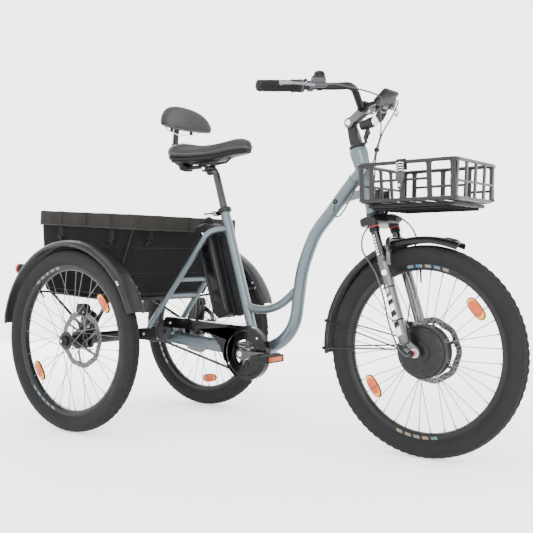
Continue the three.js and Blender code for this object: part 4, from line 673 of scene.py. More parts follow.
HEAD_PROFILE = [(15.6, 0), (27.2, 0), (28, 1), (28, 12), (25.5, 22), (23.6, 36), (22.4, 62), (22, 100),
                (22.4, 128),
                (24, 158), (26.8, 184), (28.6, 198), (29, 212), (28, 216), (26, 220), (15.6, 220)]
piece("head_shell", lathe(HEAD_PROFILE, steer(0, 0, 0), STEER_UP, 56, True), FRAME_PAINT, "frame",
      ["head_tube"], smooth=30)
cups = [lathe([(15.6, 220.2), (26.4, 220.2), (27, 221), (26.2, 221.8), (15.6, 221.8)], steer(0, 0, 0),
              STEER_UP, 48, True),
        lathe([(28.1, 3), (28.6, 4), (28.6, 7), (28.1, 8)], steer(0, 0, 0), STEER_UP, 48, True)]
piece("headset_races", cups, GLOSS_BLACK, "frame")

# %% Swooping down tube, gusset and brace
DOWN_PATH = [(956, 0, 866), (905, 0, 816), (838, 0, 740), (780, 0, 676), (745, 0, 606), (724, 0, 545),
             (711, 0, 470),
             (699, 0, 398), (676, 0, 352), (640, 0, 318), (596, 0, 297), (546, 0, 284)]
down = curve(DOWN_PATH, 70)
piece("down_tube_skin", [sweep(down, 21, sides=32, ends="flat"), weld(down[4], down[5] - down[4], 21.5),
                         weld(down[-5], down[-4] - down[-5], 21)], FRAME_PAINT, "frame",
                         ["down_tube"])
gusset = [(862, 746), (884, 760), (908, 772), (936, 777), (960, 780), (957, 808), (920, 802), (880, 788)]
piece("head_gusset", plate(gusset, -4.6, 4.6), FRAME_PAINT, "frame", bevel=1.6)
brace = curve([(500, 0, 430), (540, 0, 421), (590, 0, 424), (640, 0, 442), (684, 0, 474), (712, 0, 500)], 30)
piece("brace_skin", [sweep(brace, 14, sides=24, ends="flat"), weld(brace[5], brace[6] - brace[5], 14),
                     weld(brace[-5], brace[-4] - brace[-5], 14)], FRAME_PAINT, "frame",
                     ["brace_tube"])
port = lathe([(8.5, 0), (8.5, 1.6), (6, 2.6), (3.4, 2.6), (3, -4)], (866, -20.4, 771), (-0.1, -1, 0.1), 24)
piece("cable_port", port, RUBBER, "frame")

# %% Seat tube with its collar
def ears(y0, y1):
    return block((-41, y0, 497), (-16, y1, 511), seat)


tube_skin = lathe([(15, 497.5), (17, 497.5), (17, 20), (15, 20)], seat(0, 0, 0), SEAT_UP, 40, True)
piece("seat_tube_skin", [tube_skin, weld(seat(0, 0, 24), SEAT_UP, 17)], FRAME_PAINT, "frame",
      ["seat_tube"])
collar = lathe([(15, 497), (22.5, 497), (24, 498.5), (24, 511.5), (22.5, 513), (15, 513)],
               seat(0, 0, 0), SEAT_UP, 48, True)
piece("seat_collar", [collar, ears(-9, -2), ears(2, 9)], SATIN_BLACK, "frame", bevel=0.8)

# %% Quick-release lever on the collar
CAM = (-33, -17.4, 504)
lever_path = curve([seat(-33, -17.4, 504), seat(-36, -34, 504), seat(-40, -52, 503), seat(-42, -62, 502)], 12)
cam = lathe([(0, -7), (7.4, -7), (8, -6), (8, 6), (7.4, 7), (0, 7)], seat(*CAM), SEAT_UP, 28)
piece("clamp_lever_skin", [cam, sweep(lever_path, lambda s: 4.2 - 0.8 * math.sin(s * 3.1), wide=0.8,
                                      sides=14)], ALLOY,
      "clamp_lever", ["seat_clamp_lever"])
piece("clamp_nut", bolt(seat(-33, 9.2, 504), (0, 1, 0), 6.5, 6, socket=False), STEEL, "frame")

# %% [markdown]
# The seat stays leave the seat tube close together and spread to pass the battery, and two
# bridges stiffen them. The chain stays are deep flat bars that carry the gear hub in plates.

# %% Seat stays
STAY_TOP, STAY_TURN, STAY_BEND = seat(-4, 0, 438), seat(-52, 0, 430), seat(-82, 0, 404)


def stay_line(side):
    foot, bend = np.array([108, 0, 352.0]), STAY_BEND
    return [STAY_TOP + Y_AXIS * side * 14, (STAY_TOP + STAY_TURN) / 2 + np.array([0, side * 42, 6]),
            STAY_TURN + Y_AXIS * side * 64, bend + Y_AXIS * side * 72, (bend + foot) / 2 + Y_AXIS * side * 76,
            foot + Y_AXIS * side * 80]


stays = [sweep(curve(stay_line(side), 44), 10, sides=20) for side in (-1, 1)]
for share in (0.58, 0.38):
    x = 108 + (STAY_BEND[0] - 108) * share
    z = 352 + (STAY_BEND[2] - 352) * share
    stays += [tube((x, -74, z), (x, 74, z), 8), weld((x, -66, z), Y_AXIS, 8), weld((x, 66, z), Y_AXIS, 8)]
stays.append(tube(STAY_TOP - Y_AXIS * 16, STAY_TOP + Y_AXIS * 16, 10))
piece("seat_stays_skin", stays, FRAME_PAINT, "frame", ["seat_stays"])

# %% Chain stays, dropout plates and crank shell
def capsule_bar(a, b, width, height):
    return strap(a, b, width, height)


HUB_PLATE = [(90, 297), (130, 297), (170, 299), (178, 330), (178, 360), (160, 366), (118, 362), (90, 343)]
chain_stays = []
for side in (-1, 1):
    y = side * 27.5
    chain_stays.append(capsule_bar((104, y, 313), (534, y, 274), 12, 34))
    chain_stays.append(plate(HUB_PLATE, y - 4, y + 4))
chain_stays += [block((455, -27.5, 262), (475, 27.5, 290)),
                lathe([(12, -36.5), (20, -36.5), (21, -35.5), (21, 35.5), (20, 36.5), (12, 36.5)],
                      (538, 0, 278), sides=48, loop=True)]
piece("chain_stays_skin", chain_stays, FRAME_PAINT, "frame", ["chain_stays"], bevel=1.2)
cups = [lathe([(12, s * 36.6), (19, s * 36.6), (19, s * 39), (16, s * 40.5), (12, s * 40.5)],
              (538, 0, 278), sides=36, loop=True)
        for s in (-1, 1)]
piece("crank_bearing_cups", cups, ALLOY, "frame")
bolts = [bolt((x, s * 31.6, z), (0, s, 0), 6, 4.5) for s in (-1, 1) for x, z in ((127, 313), (172, 325))]
piece("axle_plate_bolts", bolts, STEEL, "frame")

# %% [markdown]
# ## Battery
# The battery is a moulded case with softly rounded edges. A pair of grey strips runs up each
# side, a key switch locks it to its rail, and a fold-down handle lifts it out.

# %% Battery case, strips, handle and key
CASE = [(-51, 146), (-51, 468), (-67, 480), (-110, 480), (-122, 466), (-122, 168), (-104, 142)]
rail = [block((-50, -20, 138), (-42, 20, 438), seat), block((-43, -9, 134), (-19.6, 9, 424), seat)]
piece("battery_rail_skin", rail, PLASTIC, "frame", ["battery_rail"], bevel=1.5)
case_body = plate(CASE, -44, 44, frame_at=seat)
handle = sweep([seat(-71, 0, 472), seat(-71, 0, 493), seat(-76, 0, 496), seat(-101, 0, 496),
                seat(-106, 0, 493), seat(-106, 0, 472)],
               5, sides=14, wide=2.2, up=Y_AXIS)
piece("battery_case", case_body, PLASTIC, "battery", ["battery"], bevel=9)
piece("battery_handle", handle, GRIP, "battery")
strips, seams = [], []
for s in (-1, 1):
    y0, y1 = sorted((s * 44.2, s * 43))
    strips += [block((-62, y0, 168), (-58.5, y1, 452), seat), block((-113, y0, 180), (-110.5, y1, 440), seat)]
    seams += [block((-121, y0, 418), (-52, y1, 419.6), seat), block((-121, y0, 196), (-52, y1, 197.6), seat),
              block((-100, y0, 205), (-72, y1, 405), seat)]
piece("battery_strips", strips, GREY_PLASTIC, "battery", bevel=0.4)
piece("battery_panels", seams, GLOSS_BLACK, "battery", bevel=0.4)
lock = [lathe([(9, 0), (9, 1.6), (7.6, 2.4), (0, 2.4)], seat(-87, -44, 440), (0, -1, 0), 28)]
piece("battery_lock", lock, CHROME, "battery")
piece("battery_key_slot", block((-88, -46.9, 436), (-86, -46, 444), seat), PLASTIC, "battery")

# %% [markdown]
# ## Rear axle and rack
# A stout tube carries both wheel shafts in plates at its ends, with a brake caliper bolted
# over each disc. The rack is bent rod: two cross rods and three long ones under the bag, and
# struts down to the axle and out to the fenders.

# %% Axle tube and end plates
def squircle_plate(outline, y, thick, centre):
    return plate(outline, y - thick / 2, y + thick / 2, centre)


END_PLATE = [(-26, -30), (26, -30), (33, -22), (44, 20), (50, 60), (52, 90), (30, 100), (-2, 110),
             (-12, 90), (-34, 42), (-34, -20)]
axle = [tube((0, -280, AXLE_Z), (0, 42.5, AXLE_Z), 20, 36), tube((0, 60, AXLE_Z), (0, 280, AXLE_Z), 20, 36)]
for side in (-1, 1):
    axle.append(squircle_plate(END_PLATE, side * 286, 13, (0, AXLE_Z)))
    axle.append(lathe([(12, 0), (26, 0), (28, 3), (28, 9), (20, 16), (12, 16)], (0, side * 279, AXLE_Z),
                      (0, -side, 0), 40, True))
    arm = [(-16, -18), (60, -22), (130, -24), (134, 0), (98, 24), (-10, 20)]
    y0, y1 = sorted((side * 33.9, side * 41.9))
    axle.append(plate(arm, y0, y1, (0, AXLE_Z)))
axle += [block((-62, 31, 301), (-46, 72, 329)), block((-60, 30.9, 301), (0, 42.9, 329)),
         block((-60, 60, 301), (0, 72, 329))]
piece("axle_beam_skin", axle, SATIN_BLACK, "frame", ["rear_axle_beam"], bevel=1.2)
fixings = [bolt((x, side * 42, z), (0, side, 0), 6.5, 5) for side in (-1, 1) for x,
           z in ((116, 306), (40, 318))]
fixings += [bolt((x, side * 293, AXLE_Z + z), (0, side, 0), 6, 5) for side in (-1, 1) for x,
            z in ((-20, 10), (22, 44), (-14, 62))]
piece("axle_fixings", fixings, STEEL, "frame")

# %% Rear brake calipers
def caliper(x, y, z, out):
    """A two-piece caliper straddling the disc at y, with a bridge and pistons."""
    shell = [(-20, -17), (12, -20), (24, -12), (26, 8), (16, 19), (-14, 21), (-24, 8)]
    halves = []
    for low, high in ((2.2, 13), (-13, -2.2)):
        halves.append(plate(shell, y + low, y + high, (x, z)))
    bridge = plate([(-16, 10), (20, 8), (16, 19), (-14, 21)], y - 3, y + 3, (x, z))
    pistons = lathe([(11, 12.8), (11, 15), (8.5, 16), (0, 16)], (x + 2, y, z), (0, out, 0), 28)
    return [*halves, bridge, pistons]


calipers, caliper_bolts = [], []
for side in (-1, 1):
    calipers += caliper(8, side * 305, AXLE_Z + 104, side)
    caliper_bolts += [bolt((x, side * 318, AXLE_Z + z), (0, side, 0), 3.6, 3) for x,
                      z in ((-8, 92), (24, 96))]
piece("rear_calipers", calipers, SATIN_BLACK, "frame", bevel=1.5)
piece("rear_caliper_bolts", caliper_bolts, STEEL, "frame")

# %% Rack of bent rod
BAG_LEAN = math.radians(-3.8)


def rack(x, y, z):
    return on_line((238, 744), BAG_LEAN, x, y, z)


RACK_FRONT, RACK_BACK, RACK_Z, RACK_HALF = -136, -485, -303.4, 221
rods = []
for x in (RACK_FRONT, RACK_BACK):
    rods.append(tube(rack(x, -RACK_HALF, RACK_Z), rack(x, RACK_HALF, RACK_Z), 8, 20, "round"))
for y in (-RACK_HALF, 0, RACK_HALF):
    rods.append(tube(rack(RACK_FRONT, y, RACK_Z), rack(RACK_BACK, y, RACK_Z), 6.6, 18, "round"))
for side in (-1, 1):
    y = side * 267
    rods.append(sweep(curve([np.array([10, y, 336]), np.array([30, y, 370]),
                             rack(RACK_FRONT - 20, side * 236, RACK_Z + 2),
                             rack(RACK_FRONT - 20, side * RACK_HALF, RACK_Z)], 14), 7, sides=16))
    rods.append(sweep([np.array([-16, y, 336]), rack(RACK_BACK, side * RACK_HALF, RACK_Z)], 5, sides=14))
    rods.append(tube((-18, y, 344), (20, y, 344), 7, 16, "round"))
    for x, angle in ((RACK_FRONT, 30), (RACK_BACK, 150)):
        a = math.radians(angle)
        tip = np.array([330 * math.cos(a), side * 311, AXLE_Z + 330 * math.sin(a)])
        rods.append(sweep([rack(x, side * RACK_HALF, RACK_Z), tip], 4, sides=12))
piece("rack_skin", rods, SATIN_BLACK, "frame", ["rear_rack"])

# %% [markdown]
# ## Drive train
# The chain is made of real links: rollers on pins, with inner and outer plates by turns, laid
# at a steady pitch round the loop. Teeth come from the same trick as the tread, by moving
# every other step of a disc's edge.

# %% Chain links round two sprockets
def chain_line(a, ra, b, rb, y):
    far = math.hypot(b[0] - a[0], b[1] - a[1])
    lean = math.atan2(b[1] - a[1], b[0] - a[0])
    opening = math.acos((ra - rb) / far)
    points = []
    for k in range(60):
        t = lean + opening + (2 * math.pi - 2 * opening) * k / 59
        points.append((a[0] + ra * math.cos(t), y, a[1] + ra * math.sin(t)))
    for k in range(40):
        t = lean - opening + 2 * opening * k / 39
        points.append((b[0] + rb * math.cos(t), y, b[1] + rb * math.sin(t)))
    return points + [points[0]]


def chain(a, ra, b, rb, y):
    line = np.array(chain_line(a, ra, b, rb, y))
    length = np.linalg.norm(np.diff(line, axis=0), axis=1).sum()
    count = 2 * round(length / 12.7 / 2)
    pins = spaced(line, count + 1)[:-1]
    links = []
    for i, pin in enumerate(pins):
        after = pins[(i + 1) % count]
        along = unit(after - pin)
        lift = np.cross(along, Y_AXIS)
        reach = np.linalg.norm(after - pin)
        outline = []
        for centre, start in ((0, 90), (reach, -90)):
            for t in range(start, start + 181, 45):
                a0 = math.radians(t)
                outline.append((centre + 3.7 * math.cos(a0), 3.7 * math.sin(a0)))
        off = 2.0 if i % 2 else 2.9
        for way in (-1, 1):
            rings = [[pin + along * u + lift * w + Y_AXIS * (way * (off + d)) for u, w in outline]
                     for d in (-0.4, 0.4)]
            links.append(skin(rings))
        links.append(lathe([(2.8, -3.4), (2.8, 3.4)], pin, Y_AXIS, 8))
    return links


def sprocket(centre, r, y, teeth, bore, thick=2.4):
    edge = lambda i, k: (3.4 if k % 4 in (1, 2) else 0) if i in (0, 1) else 0
    return lathe([(r - 2, y - thick / 2), (r - 2, y + thick / 2), (bore, y + thick / 2),
                  (bore, y - thick / 2)],
                 (centre[0], 0, centre[1]), sides=teeth * 4, loop=True, shape=edge)


GEAR_AXIS = (152, 334)
piece("drive_chain_links", chain(CRANK_AXIS, 74, GEAR_AXIS, 36, -52), DARK_STEEL, "frame",
      ["drive_chain"])
piece("final_chain_links", chain(GEAR_AXIS, 34, (0, AXLE_Z), 34, 50), DARK_STEEL, "frame",
      ["final_chain"])

# %% Gear hub and axle sprocket
gear_shell = lathe([(6, -58), (6, -42), (16, -40), (22, -24), (26, -20), (26, -15), (20, -11), (20, 11),
                    (26, 15), (26, 20),
                    (22, 24), (14, 38), (6, 42), (6, 56)], (152, 0, 334), sides=48)
piece("gear_hub_shell", [gear_shell, sprocket(GEAR_AXIS, 34, -52, 17, 8),
                         sprocket(GEAR_AXIS, 31.5, 50, 16, 8)], DARK_STEEL,
      "gear_hub", ["gear_hub"])
freewheel = lathe([(11, -6), (17, -6), (19, -3), (19, 4), (16, 7), (11, 7)], (0, 50, AXLE_Z), sides=36,
                  loop=True)
piece("axle_sprocket_skin", [sprocket((0, AXLE_Z), 31.5, 50, 16, 12), freewheel], DARK_STEEL,
      "axle_sprocket",
      ["axle_sprocket"])

# %% [markdown]
# The guard is a glossy shell: a dish round the chainring with a wide opening for the crank,
# and a long arm that covers the chain's top run. A thin roof follows its whole edge.

# %% Chain guard
GUARD_Y0, GUARD_Y1 = -69.2, -66.6
opening_ring = ring_plate(circle(90, 96, CRANK_AXIS), circle(45, 96, CRANK_AXIS), GUARD_Y0, GUARD_Y1)
arm_outline = [(462, 320), (505, 361), (528, 367), (420, 371), (300, 378), (196, 385), (182, 383),
               (172, 376), (168, 366),
               (170, 352), (190, 350), (280, 348), (380, 340), (430, 326)]
arm = plate(arm_outline, GUARD_Y0, GUARD_Y1)
flare = plate([(330, 350), (374, 338), (406, 322), (428, 298), (441, 270), (449, 246), (478, 252),
               (486, 300), (500, 350), (470, 362)],
              GUARD_Y0, GUARD_Y1)
edge = [(168, 352), (168, 368), (174, 379), (188, 386), (300, 379), (420, 372)]
edge += [(538 + 90 * math.cos(math.radians(a)), 278 + 90 * math.sin(math.radians(a)))
         for a in range(96, -113, -8)]
roof = sweep(curve([(x, -57, z) for x, z in edge], 90), 1.0, up=Y_AXIS, ends="flat",
             section=[(-1.4, -12.4), (1.4, -12.4), (1.4, 11.5), (-1.4, 11.5)])
lip = lathe([(45, GUARD_Y0), (45, GUARD_Y1 + 1), (48, GUARD_Y1 + 0.6), (49, GUARD_Y0 - 0.9),
             (46, GUARD_Y0 - 1.6)], (538, 0, 278),
            sides=96, loop=True)
crease = lathe([(74, GUARD_Y0 - 0.1), (76, GUARD_Y0 - 1.5), (79, GUARD_Y0 - 0.1)], (538, 0, 278),
               sides=96, loop=True)
piece("chain_guard_skin", [opening_ring, arm, flare, roof, lip, crease], GLOSS_BLACK, "frame",
      ["chain_guard"])
tabs = [bolt((x, GUARD_Y0, z), (0, -1, 0), 4.2, 2.4) for x, z in ((200, 366), (470, 240), (590, 330))]
piece("chain_guard_screws", tabs, STEEL, "frame")

# %% Cranks and chainring
def crank_arm(side):
    y = side * 90.5
    x0, x1 = 538, 538 - side * 152
    points = [np.array([x0 + (x1 - x0) * t, y, 278.0]) for t in np.linspace(0, 1, 12)]
    body = sweep(points, lambda t: 1.25 - 0.42 * t + 0.12 * t ** 4, up=(0, 0, 1), ends="flat",
                 section=[(-5.2, -9), (-3.5, -10), (3.5, -10), (5.2, -9), (5.2, 9), (3.5, 10),
                          (-3.5, 10), (-5.2, 9)])
    y0, y1 = sorted((side * 84, side * 97))
    eye = lathe([(6.2, y0), (11.6, y0), (13, y0 + 1.4), (13, y1 - 1.4), (11.6, y1), (6.2, y1)],
                (x1, 0, 278), sides=36, loop=True)
    boss = lathe([(0, y0), (16, y0), (17, y0 + 1), (17, y1 - 1), (16, y1), (0, y1)], (x0, 0, 278), sides=40)
    return [body, eye, boss]


CRANK_BLACK = finish("crank_black", (0.01, 0.01, 0.011), 0.28, metal=0.4, coat=0.4, grain=1400, bump=0.15)
piece("crank_arms", crank_arm(-1) + crank_arm(1) + [tube((538, -84, 278), (538, 84, 278), 10, 24)],
      CRANK_BLACK, "crank",
      ["crankset"])
spider = [strap((538 + 18 * math.cos(a), -54.5, 278 + 18 * math.sin(a)),
                (538 + 58 * math.cos(a), -54.5, 278 + 58 * math.sin(a)), 4, 16)
          for a in np.linspace(0.3, 0.3 + 2 * math.pi, 5, endpoint=False)]
ring = lathe([(24, -56), (24, -40), (18, -38.5), (11, -38.5), (11, -82), (22, -80), (22, -56)],
             (538, 0, 278), sides=36, loop=True)
piece("chainring_spider", spider + [ring], CRANK_BLACK, "crank")
piece("chainring", sprocket(CRANK_AXIS, 72, -52, 38, 52), DARK_STEEL, "crank")
caps = [lathe([(9, 97), (9, 98.5), (7, 99.3), (0, 99.3)], (538, 0, 278), (0, s, 0), 24) for s in (-1, 1)]
piece("crank_bolt_caps", caps, CHROME, "crank")

# %% [markdown]
# A city pedal is a moulded cage round a spindle, with grippy ribs and an amber reflector let
# into each of its long faces. Left and right are mirror images.

# %% Pedals
def pedal_parts(side):
    x, z = 538 - side * 152, 278
    y0, y1 = side * 101, side * 193
    body = []
    lo, hi = min(y0, y1), max(y0, y1)
    for way in (-1, 1):
        xa, xb = sorted((x + way * 33, x + way * 25.5))
        body.append(block((xa, lo + 2, z - 11.5), (xb, hi - 2, z + 11.5)))
    for ya, yb in ((lo, lo + 9), (hi - 9, hi), (lo + 43, lo + 49)):
        body.append(block((x - 32, ya, z - 11), (x + 32, yb, z + 11)))
    body.append(lathe([(11, lo + 2), (11, hi - 2)], (x, 0, z), sides=24))
    teeth = [block((x + way * 29 - 2.4, y - 2.2, z - 12), (x + way * 29 + 2.4, y + 2.2, z + 12))
             for way in (-1, 1) for y in np.linspace(lo + 8, hi - 8, 8)]
    return body + teeth


for word, side in (("right", -1), ("left", 1)):
    x, body_name = 538 - side * 152, "pedal_" + word
    piece("pedal_cage_" + word, pedal_parts(side), PLASTIC, body_name,
          ["pedal_" + word], bevel=1.2)
    lo, hi = sorted((side * 106, side * 188))
    lenses = [block((min(a, b), lo + 6, 271), (max(a, b), hi - 6, 285)) for a,
              b in ((x + 32.6, x + 34), (x - 32.6, x - 34))]
    piece("pedal_reflectors_" + word, lenses, AMBER, body_name, bevel=1)
    spindle = lathe([(5, side * 85), (5, side * 98), (8, side * 98.5), (8, side * 101),
                     (6, side * 104)], (x, 0, 278), sides=24)
    piece("pedal_spindle_" + word, spindle, STEEL, body_name)

# %% [markdown]
# ## Suspension fork
# The crown is a forged bridge on the steerer. Under it a short shroud and a red seal hide the
# top of each dark stanchion, which slides inside a lower leg. The lower legs, their arch
# and the axle ends move as one casting.

# %% Crown, shrouds and stanchions
def along_steer(profile, x=0, y=0, sides=40, loop=False):
    return lathe(profile, steer(x, y, 0), STEER_UP, sides, loop)


def rounded_rectangle(x0, x1, y0, y1, r, steps=6):
    points = []
    for cx, cy, t0 in ((x1 - r, y1 - r, 0), (x0 + r, y1 - r, 90), (x0 + r, y0 + r, 180),
                       (x1 - r, y0 + r, 270)):
        for k in range(steps + 1):
            t = math.radians(t0 + 90 * k / steps)
            points.append((cx + r * math.cos(t), cy + r * math.sin(t)))
    return points


def crown_plate():
    rings = []
    for z, inset in ((-34, 3), (-32, 0.8), (-29, 0), (-14, 0), (-10, 1.5), (-8, 5)):
        rings.append([steer(x, y, z) for x, y in rounded_rectangle(-20 + inset, 39 - inset, -81 + inset,
                81 - inset, 14)])
    return skin(rings)


LEGS = [(19, -65), (19, 65)]
crown = [crown_plate(), along_steer([(0, -12), (26, -10), (27, -7), (26.5, -2.5), (24, -1.5),
                                     (14.3, -1.5), (14.3, 196), (0, 196)])]
for x, y in LEGS:
    crown.append(along_steer([(0, -20), (17, -20), (17.6, -24), (17, -40), (16.2, -42), (0, -42)], x, y))
piece("fork_crown", crown, SATIN_BLACK, "fork", ["fork_upper"])
shrouds, seals, tubes, marks = [], [], [], []
for x, y in LEGS:
    shrouds.append(along_steer([(13, -44), (15.4, -44.2), (15.8, -47), (15.8, -57), (14.6, -58),
                                (13, -58)], x, y, loop=True))
    seals.append(along_steer([(13.2, -42.4), (16.6, -42.4), (16.9, -43.2), (16.6, -44), (13.2, -44)], x,
                             y, loop=True))
    tubes.append(along_steer([(0, -236), (12.4, -236), (13, -234), (13, -46), (0, -46)], x, y))
    for z in range(-128, -62, 7):
        marks.append(along_steer([(12.9, z), (13.12, z + 0.3), (13.12, z + 3.2), (12.9, z + 3.5)], x, y, 28))
piece("fork_shrouds", shrouds, PLASTIC, "fork")
piece("fork_seals", seals, RED_PLASTIC, "fork")
piece("stanchions", tubes, BLACK_CHROME, "fork")

# %% Cable block on the crown and the fender's bracket on the arch
piece("crown_cable_block", strap(steer(34, 0, -14), (1080, 0, 709), 40, 15), PLASTIC, "fork",
      bevel=2)
piece("fender_bracket", [strap((1052, 0, 651), (1092, 0, 652.5), 26, 5),
                         bolt((1078, 0, 654.5), (0, 0, 1), 6, 4)],
      SATIN_BLACK, "lower_fork", bevel=1)

# %% Lower legs, arch, dropouts and axle
GRAPHITE = finish("graphite_lacquer", (0.045, 0.047, 0.05), 0.25, metal=0.55, coat=0.6, grain=1600, bump=0.1)
lowers = []
AX, AZ = 41.0, -435.6
for x, y in LEGS:
    side = 1 if y > 0 else -1
    lowers.append(along_steer([(13.5, -172), (13.5, -134.4), (14.2, -134), (15, -133.6), (15.6, -136),
                               (15.6, -148), (17, -151), (17.4, -158), (17, -172),
                               (16.6, -260), (16.4, -380), (15.6, -398), (11, -404), (0, -404)], x, y, 44))
    inner, outer = side * 51, side * 63
    drop = [(x - 14, AZ + 60), (x + 14, AZ + 60), (x + 17, AZ + 36), (AX + 14, AZ + 10),
            (AX + 13, AZ - 10), (AX + 4, AZ - 16),
            (AX - 10, AZ - 14), (x - 8, AZ + 14), (x - 15, AZ + 34)]
    lowers.append(plate(drop, min(inner, outer), max(inner, outer), frame_at=steer))
arch = curve([steer(36, -65, -164), steer(43, -63, -130), steer(40, -42, -95), steer(33, 0, -86),
              steer(40, 42, -95),
              steer(43, 63, -130), steer(36, 65, -164)], 40)
lowers.append(sweep(arch, 7.6, sides=20, wide=1.15, up=STEER_AHEAD))
piece("fork_lower_legs", lowers, GRAPHITE, "lower_fork", ["fork_lowers"], bevel=0.8)
axle_end = steer(AX, 0, AZ)
ends = [lathe([(0, s * 50), (7, s * 50), (7, s * 64), (13.5, s * 64), (13.5, s * 66), (10.5, s * 67),
               (10.5, s * 75), (7, s * 76),
               (0, s * 76)], axle_end, sides=12) for s in (-1, 1)]
piece("front_axle_nuts", ends, STEEL, "lower_fork")
connector = [lathe([(0, -76), (8, -76), (9.5, -80), (9.5, -88), (8, -92), (0, -92)], axle_end, sides=32)]
piece("motor_connector", connector, PLASTIC, "lower_fork")
collar_red = lathe([(9.6, -80.5), (10.2, -81.5), (10.2, -85), (9.6, -86)], axle_end, sides=32, loop=True)
piece("motor_connector_ring", collar_red, RED_PLASTIC, "lower_fork")

# %% [markdown]
# The legs carry plain bars and slanted flashes in white and black instead of lettering. A bar
# is a thin shell that wraps the outer half of the tube, a hair proud of the lacquer.

# %% Plain flashes on the legs and stanchions
def wrap_patch(x, y, r, z0, z1, a0, a1, slant=0.0, steps=8):
    rows = []
    for k in range(steps + 1):
        t = math.radians(a0 + (a1 - a0) * k / steps)
        lean = slant * k / steps
        rows.append([steer(x + q * math.cos(t), y + q * math.sin(t), z + lean)
                     for q, z in ((r, z0), (r + 0.22, z0), (r + 0.22, z1), (r, z1))])
    return skin(rows)


whites, blacks, silvers = [], [], []
for x, y in LEGS:
    middle = -90 if y < 0 else 90
    for z, tall in ((-262, 9), (-286, 26), (-322, 15), (-356, 24)):
        whites.append(wrap_patch(x, y, 16.7, z - tall, z, middle - 62, middle + 22, 6))
    for n in range(3):
        whites.append(wrap_patch(x, y, 16.75, -238 - 8 * n, -234.5 - 8 * n, middle - 60, middle + 8, 12))
    for z, tall in ((-274, 10), (-306, 14), (-340, 12)):
        blacks.append(wrap_patch(x, y, 16.8, z - tall, z, middle - 60, middle + 20, 8))
    for k, z in enumerate(np.linspace(-70, -126, 7)):
        silvers.append(wrap_patch(x, y, 12.95, z - 5.2, z, middle - 38, middle + 6, 2))
piece("leg_flashes_white", whites, WHITE, "lower_fork", smooth=20)
piece("leg_flashes_black", blacks, GLOSS_BLACK, "lower_fork", smooth=20)
piece("stanchion_marks", silvers, WHITE, "fork", smooth=20)
badge = [lathe([(8.5, 0), (8.5, 1.2), (6.5, 1.8), (6, 1), (0, 1)], steer(22, -81.4, -186), (0.1, -1, 0), 28)]
piece("leg_cap", badge, CHROME, "lower_fork")

# %% Front brake caliper behind the left leg
def at_disc(x, y, z):
    return steer(x, y, z)


shell = [(-38, -390), (-12, -384), (2, -360), (0, -338), (-20, -328), (-44, -336), (-52, -360)]
halves = [plate(shell, 43.6, 57, frame_at=at_disc), plate(shell, 28.5, 38.6, frame_at=at_disc),
          plate([(-52, -350), (-30, -330), (-20, -328), (-44, -336)], 38, 44, frame_at=at_disc),
          plate([(-16, -372), (4, -372), (8, -340), (-12, -336)], 52, 62, frame_at=at_disc)]
piece("front_caliper", halves, SATIN_BLACK, "lower_fork", bevel=1.4)
piece("front_caliper_bolts", [bolt(steer(x, 57, z), (0, 1, 0), 3.8, 3) for x, z in ((-34, -344), (-22,
        -376))] +
      [lathe([(10, 56.8), (10, 58.4), (0, 59)], steer(-28, 0, -360), sides=28)], STEEL, "lower_fork")

# %% [markdown]
# ## Stem and handlebar
# The quill rises from the headset to a pivot. Two grey cheeks lean forward from it and clamp
# the bar, so a rider can set the bar's height by one bolt. The bar itself is one bent tube.

# %% Quill, pivot, cheeks and clamp
PIVOT = steer(0, 0, 306)
CLAMP = PIVOT + 72 * np.array([math.cos(math.radians(35.4)), 0, math.sin(math.radians(35.4))])


def quill_body():
    rings = []
    for z, grow in ((228, 0.94), (232, 1.04), (262, 0.98), (284, 0.96), (298, 0.92), (308, 0.84),
                    (317, 0.62), (321, 0.3)):
        outline = rounded_rectangle(-16.5 * grow, 17.5 * grow, -9 if z > 280 else -14, 9 if z > 280
                                    else 14, 5)
        rings.append([steer(x, y, z) for x, y in outline])
    return skin(rings)


quill = [along_steer([(12, 222.6), (25, 222.6), (26, 224), (25.6, 229), (22, 232.5), (12, 233)],
                     sides=48, loop=True), quill_body()]
piece("quill_body", quill, SATIN_BLACK, "fork", ["stem_quill"], bevel=1)
cheeks = []
for s in (-1, 1):
    y = s * 13.5
    cheeks.append(sweep([PIVOT + Y_AXIS * y + (CLAMP - PIVOT) * t for t in (0, 0.25, 0.55, 0.86)],
                        lambda t: 1.08 - 0.16 * math.sin(t * 3.1),
                        up=unit(np.cross(CLAMP - PIVOT, Y_AXIS)), ends="flat",
                        section=[(-3.4, -11), (-2, -12.5), (2, -12.5), (3.4, -11), (3.4, 11), (2, 12.5),
                                 (-2, 12.5), (-3.4, 11)]))
    lo, hi = sorted((s * 10.2, s * 17))
    cheeks.append(lathe([(0, lo), (15, lo), (16, lo + 1), (16, hi - 1), (15, hi), (0, hi)], PIVOT, sides=40))
cheeks.append(lathe([(12.6, -21), (18, -21), (19, -20), (19, -9), (17.6, -8), (17.6, 8), (19, 9),
                     (19, 20), (18, 21), (12.6, 21)],
                    CLAMP, sides=48, loop=True))
STEM_GREY = finish("stem_grey", (0.055, 0.057, 0.06), 0.4, metal=0.3, coat=0.05, grain=1500, bump=0.2)
piece("stem_cheeks", cheeks, STEM_GREY, "bar", ["stem_arm"], bevel=0.6)
stem_bolts = [lathe([(9, s * 17), (9, s * 19), (7.5, s * 20.4), (5, s * 20.4), (4.6, s * 18.4),
                     (0, s * 18.4)], PIVOT, sides=30) for s in (-1, 1)]
stem_bolts += [bolt(CLAMP + np.array([14, y, -13]), (0.7, 0, -0.7), 4, 4) for y in (-15, 15)]
piece("stem_bolts", stem_bolts, CHROME, "bar")

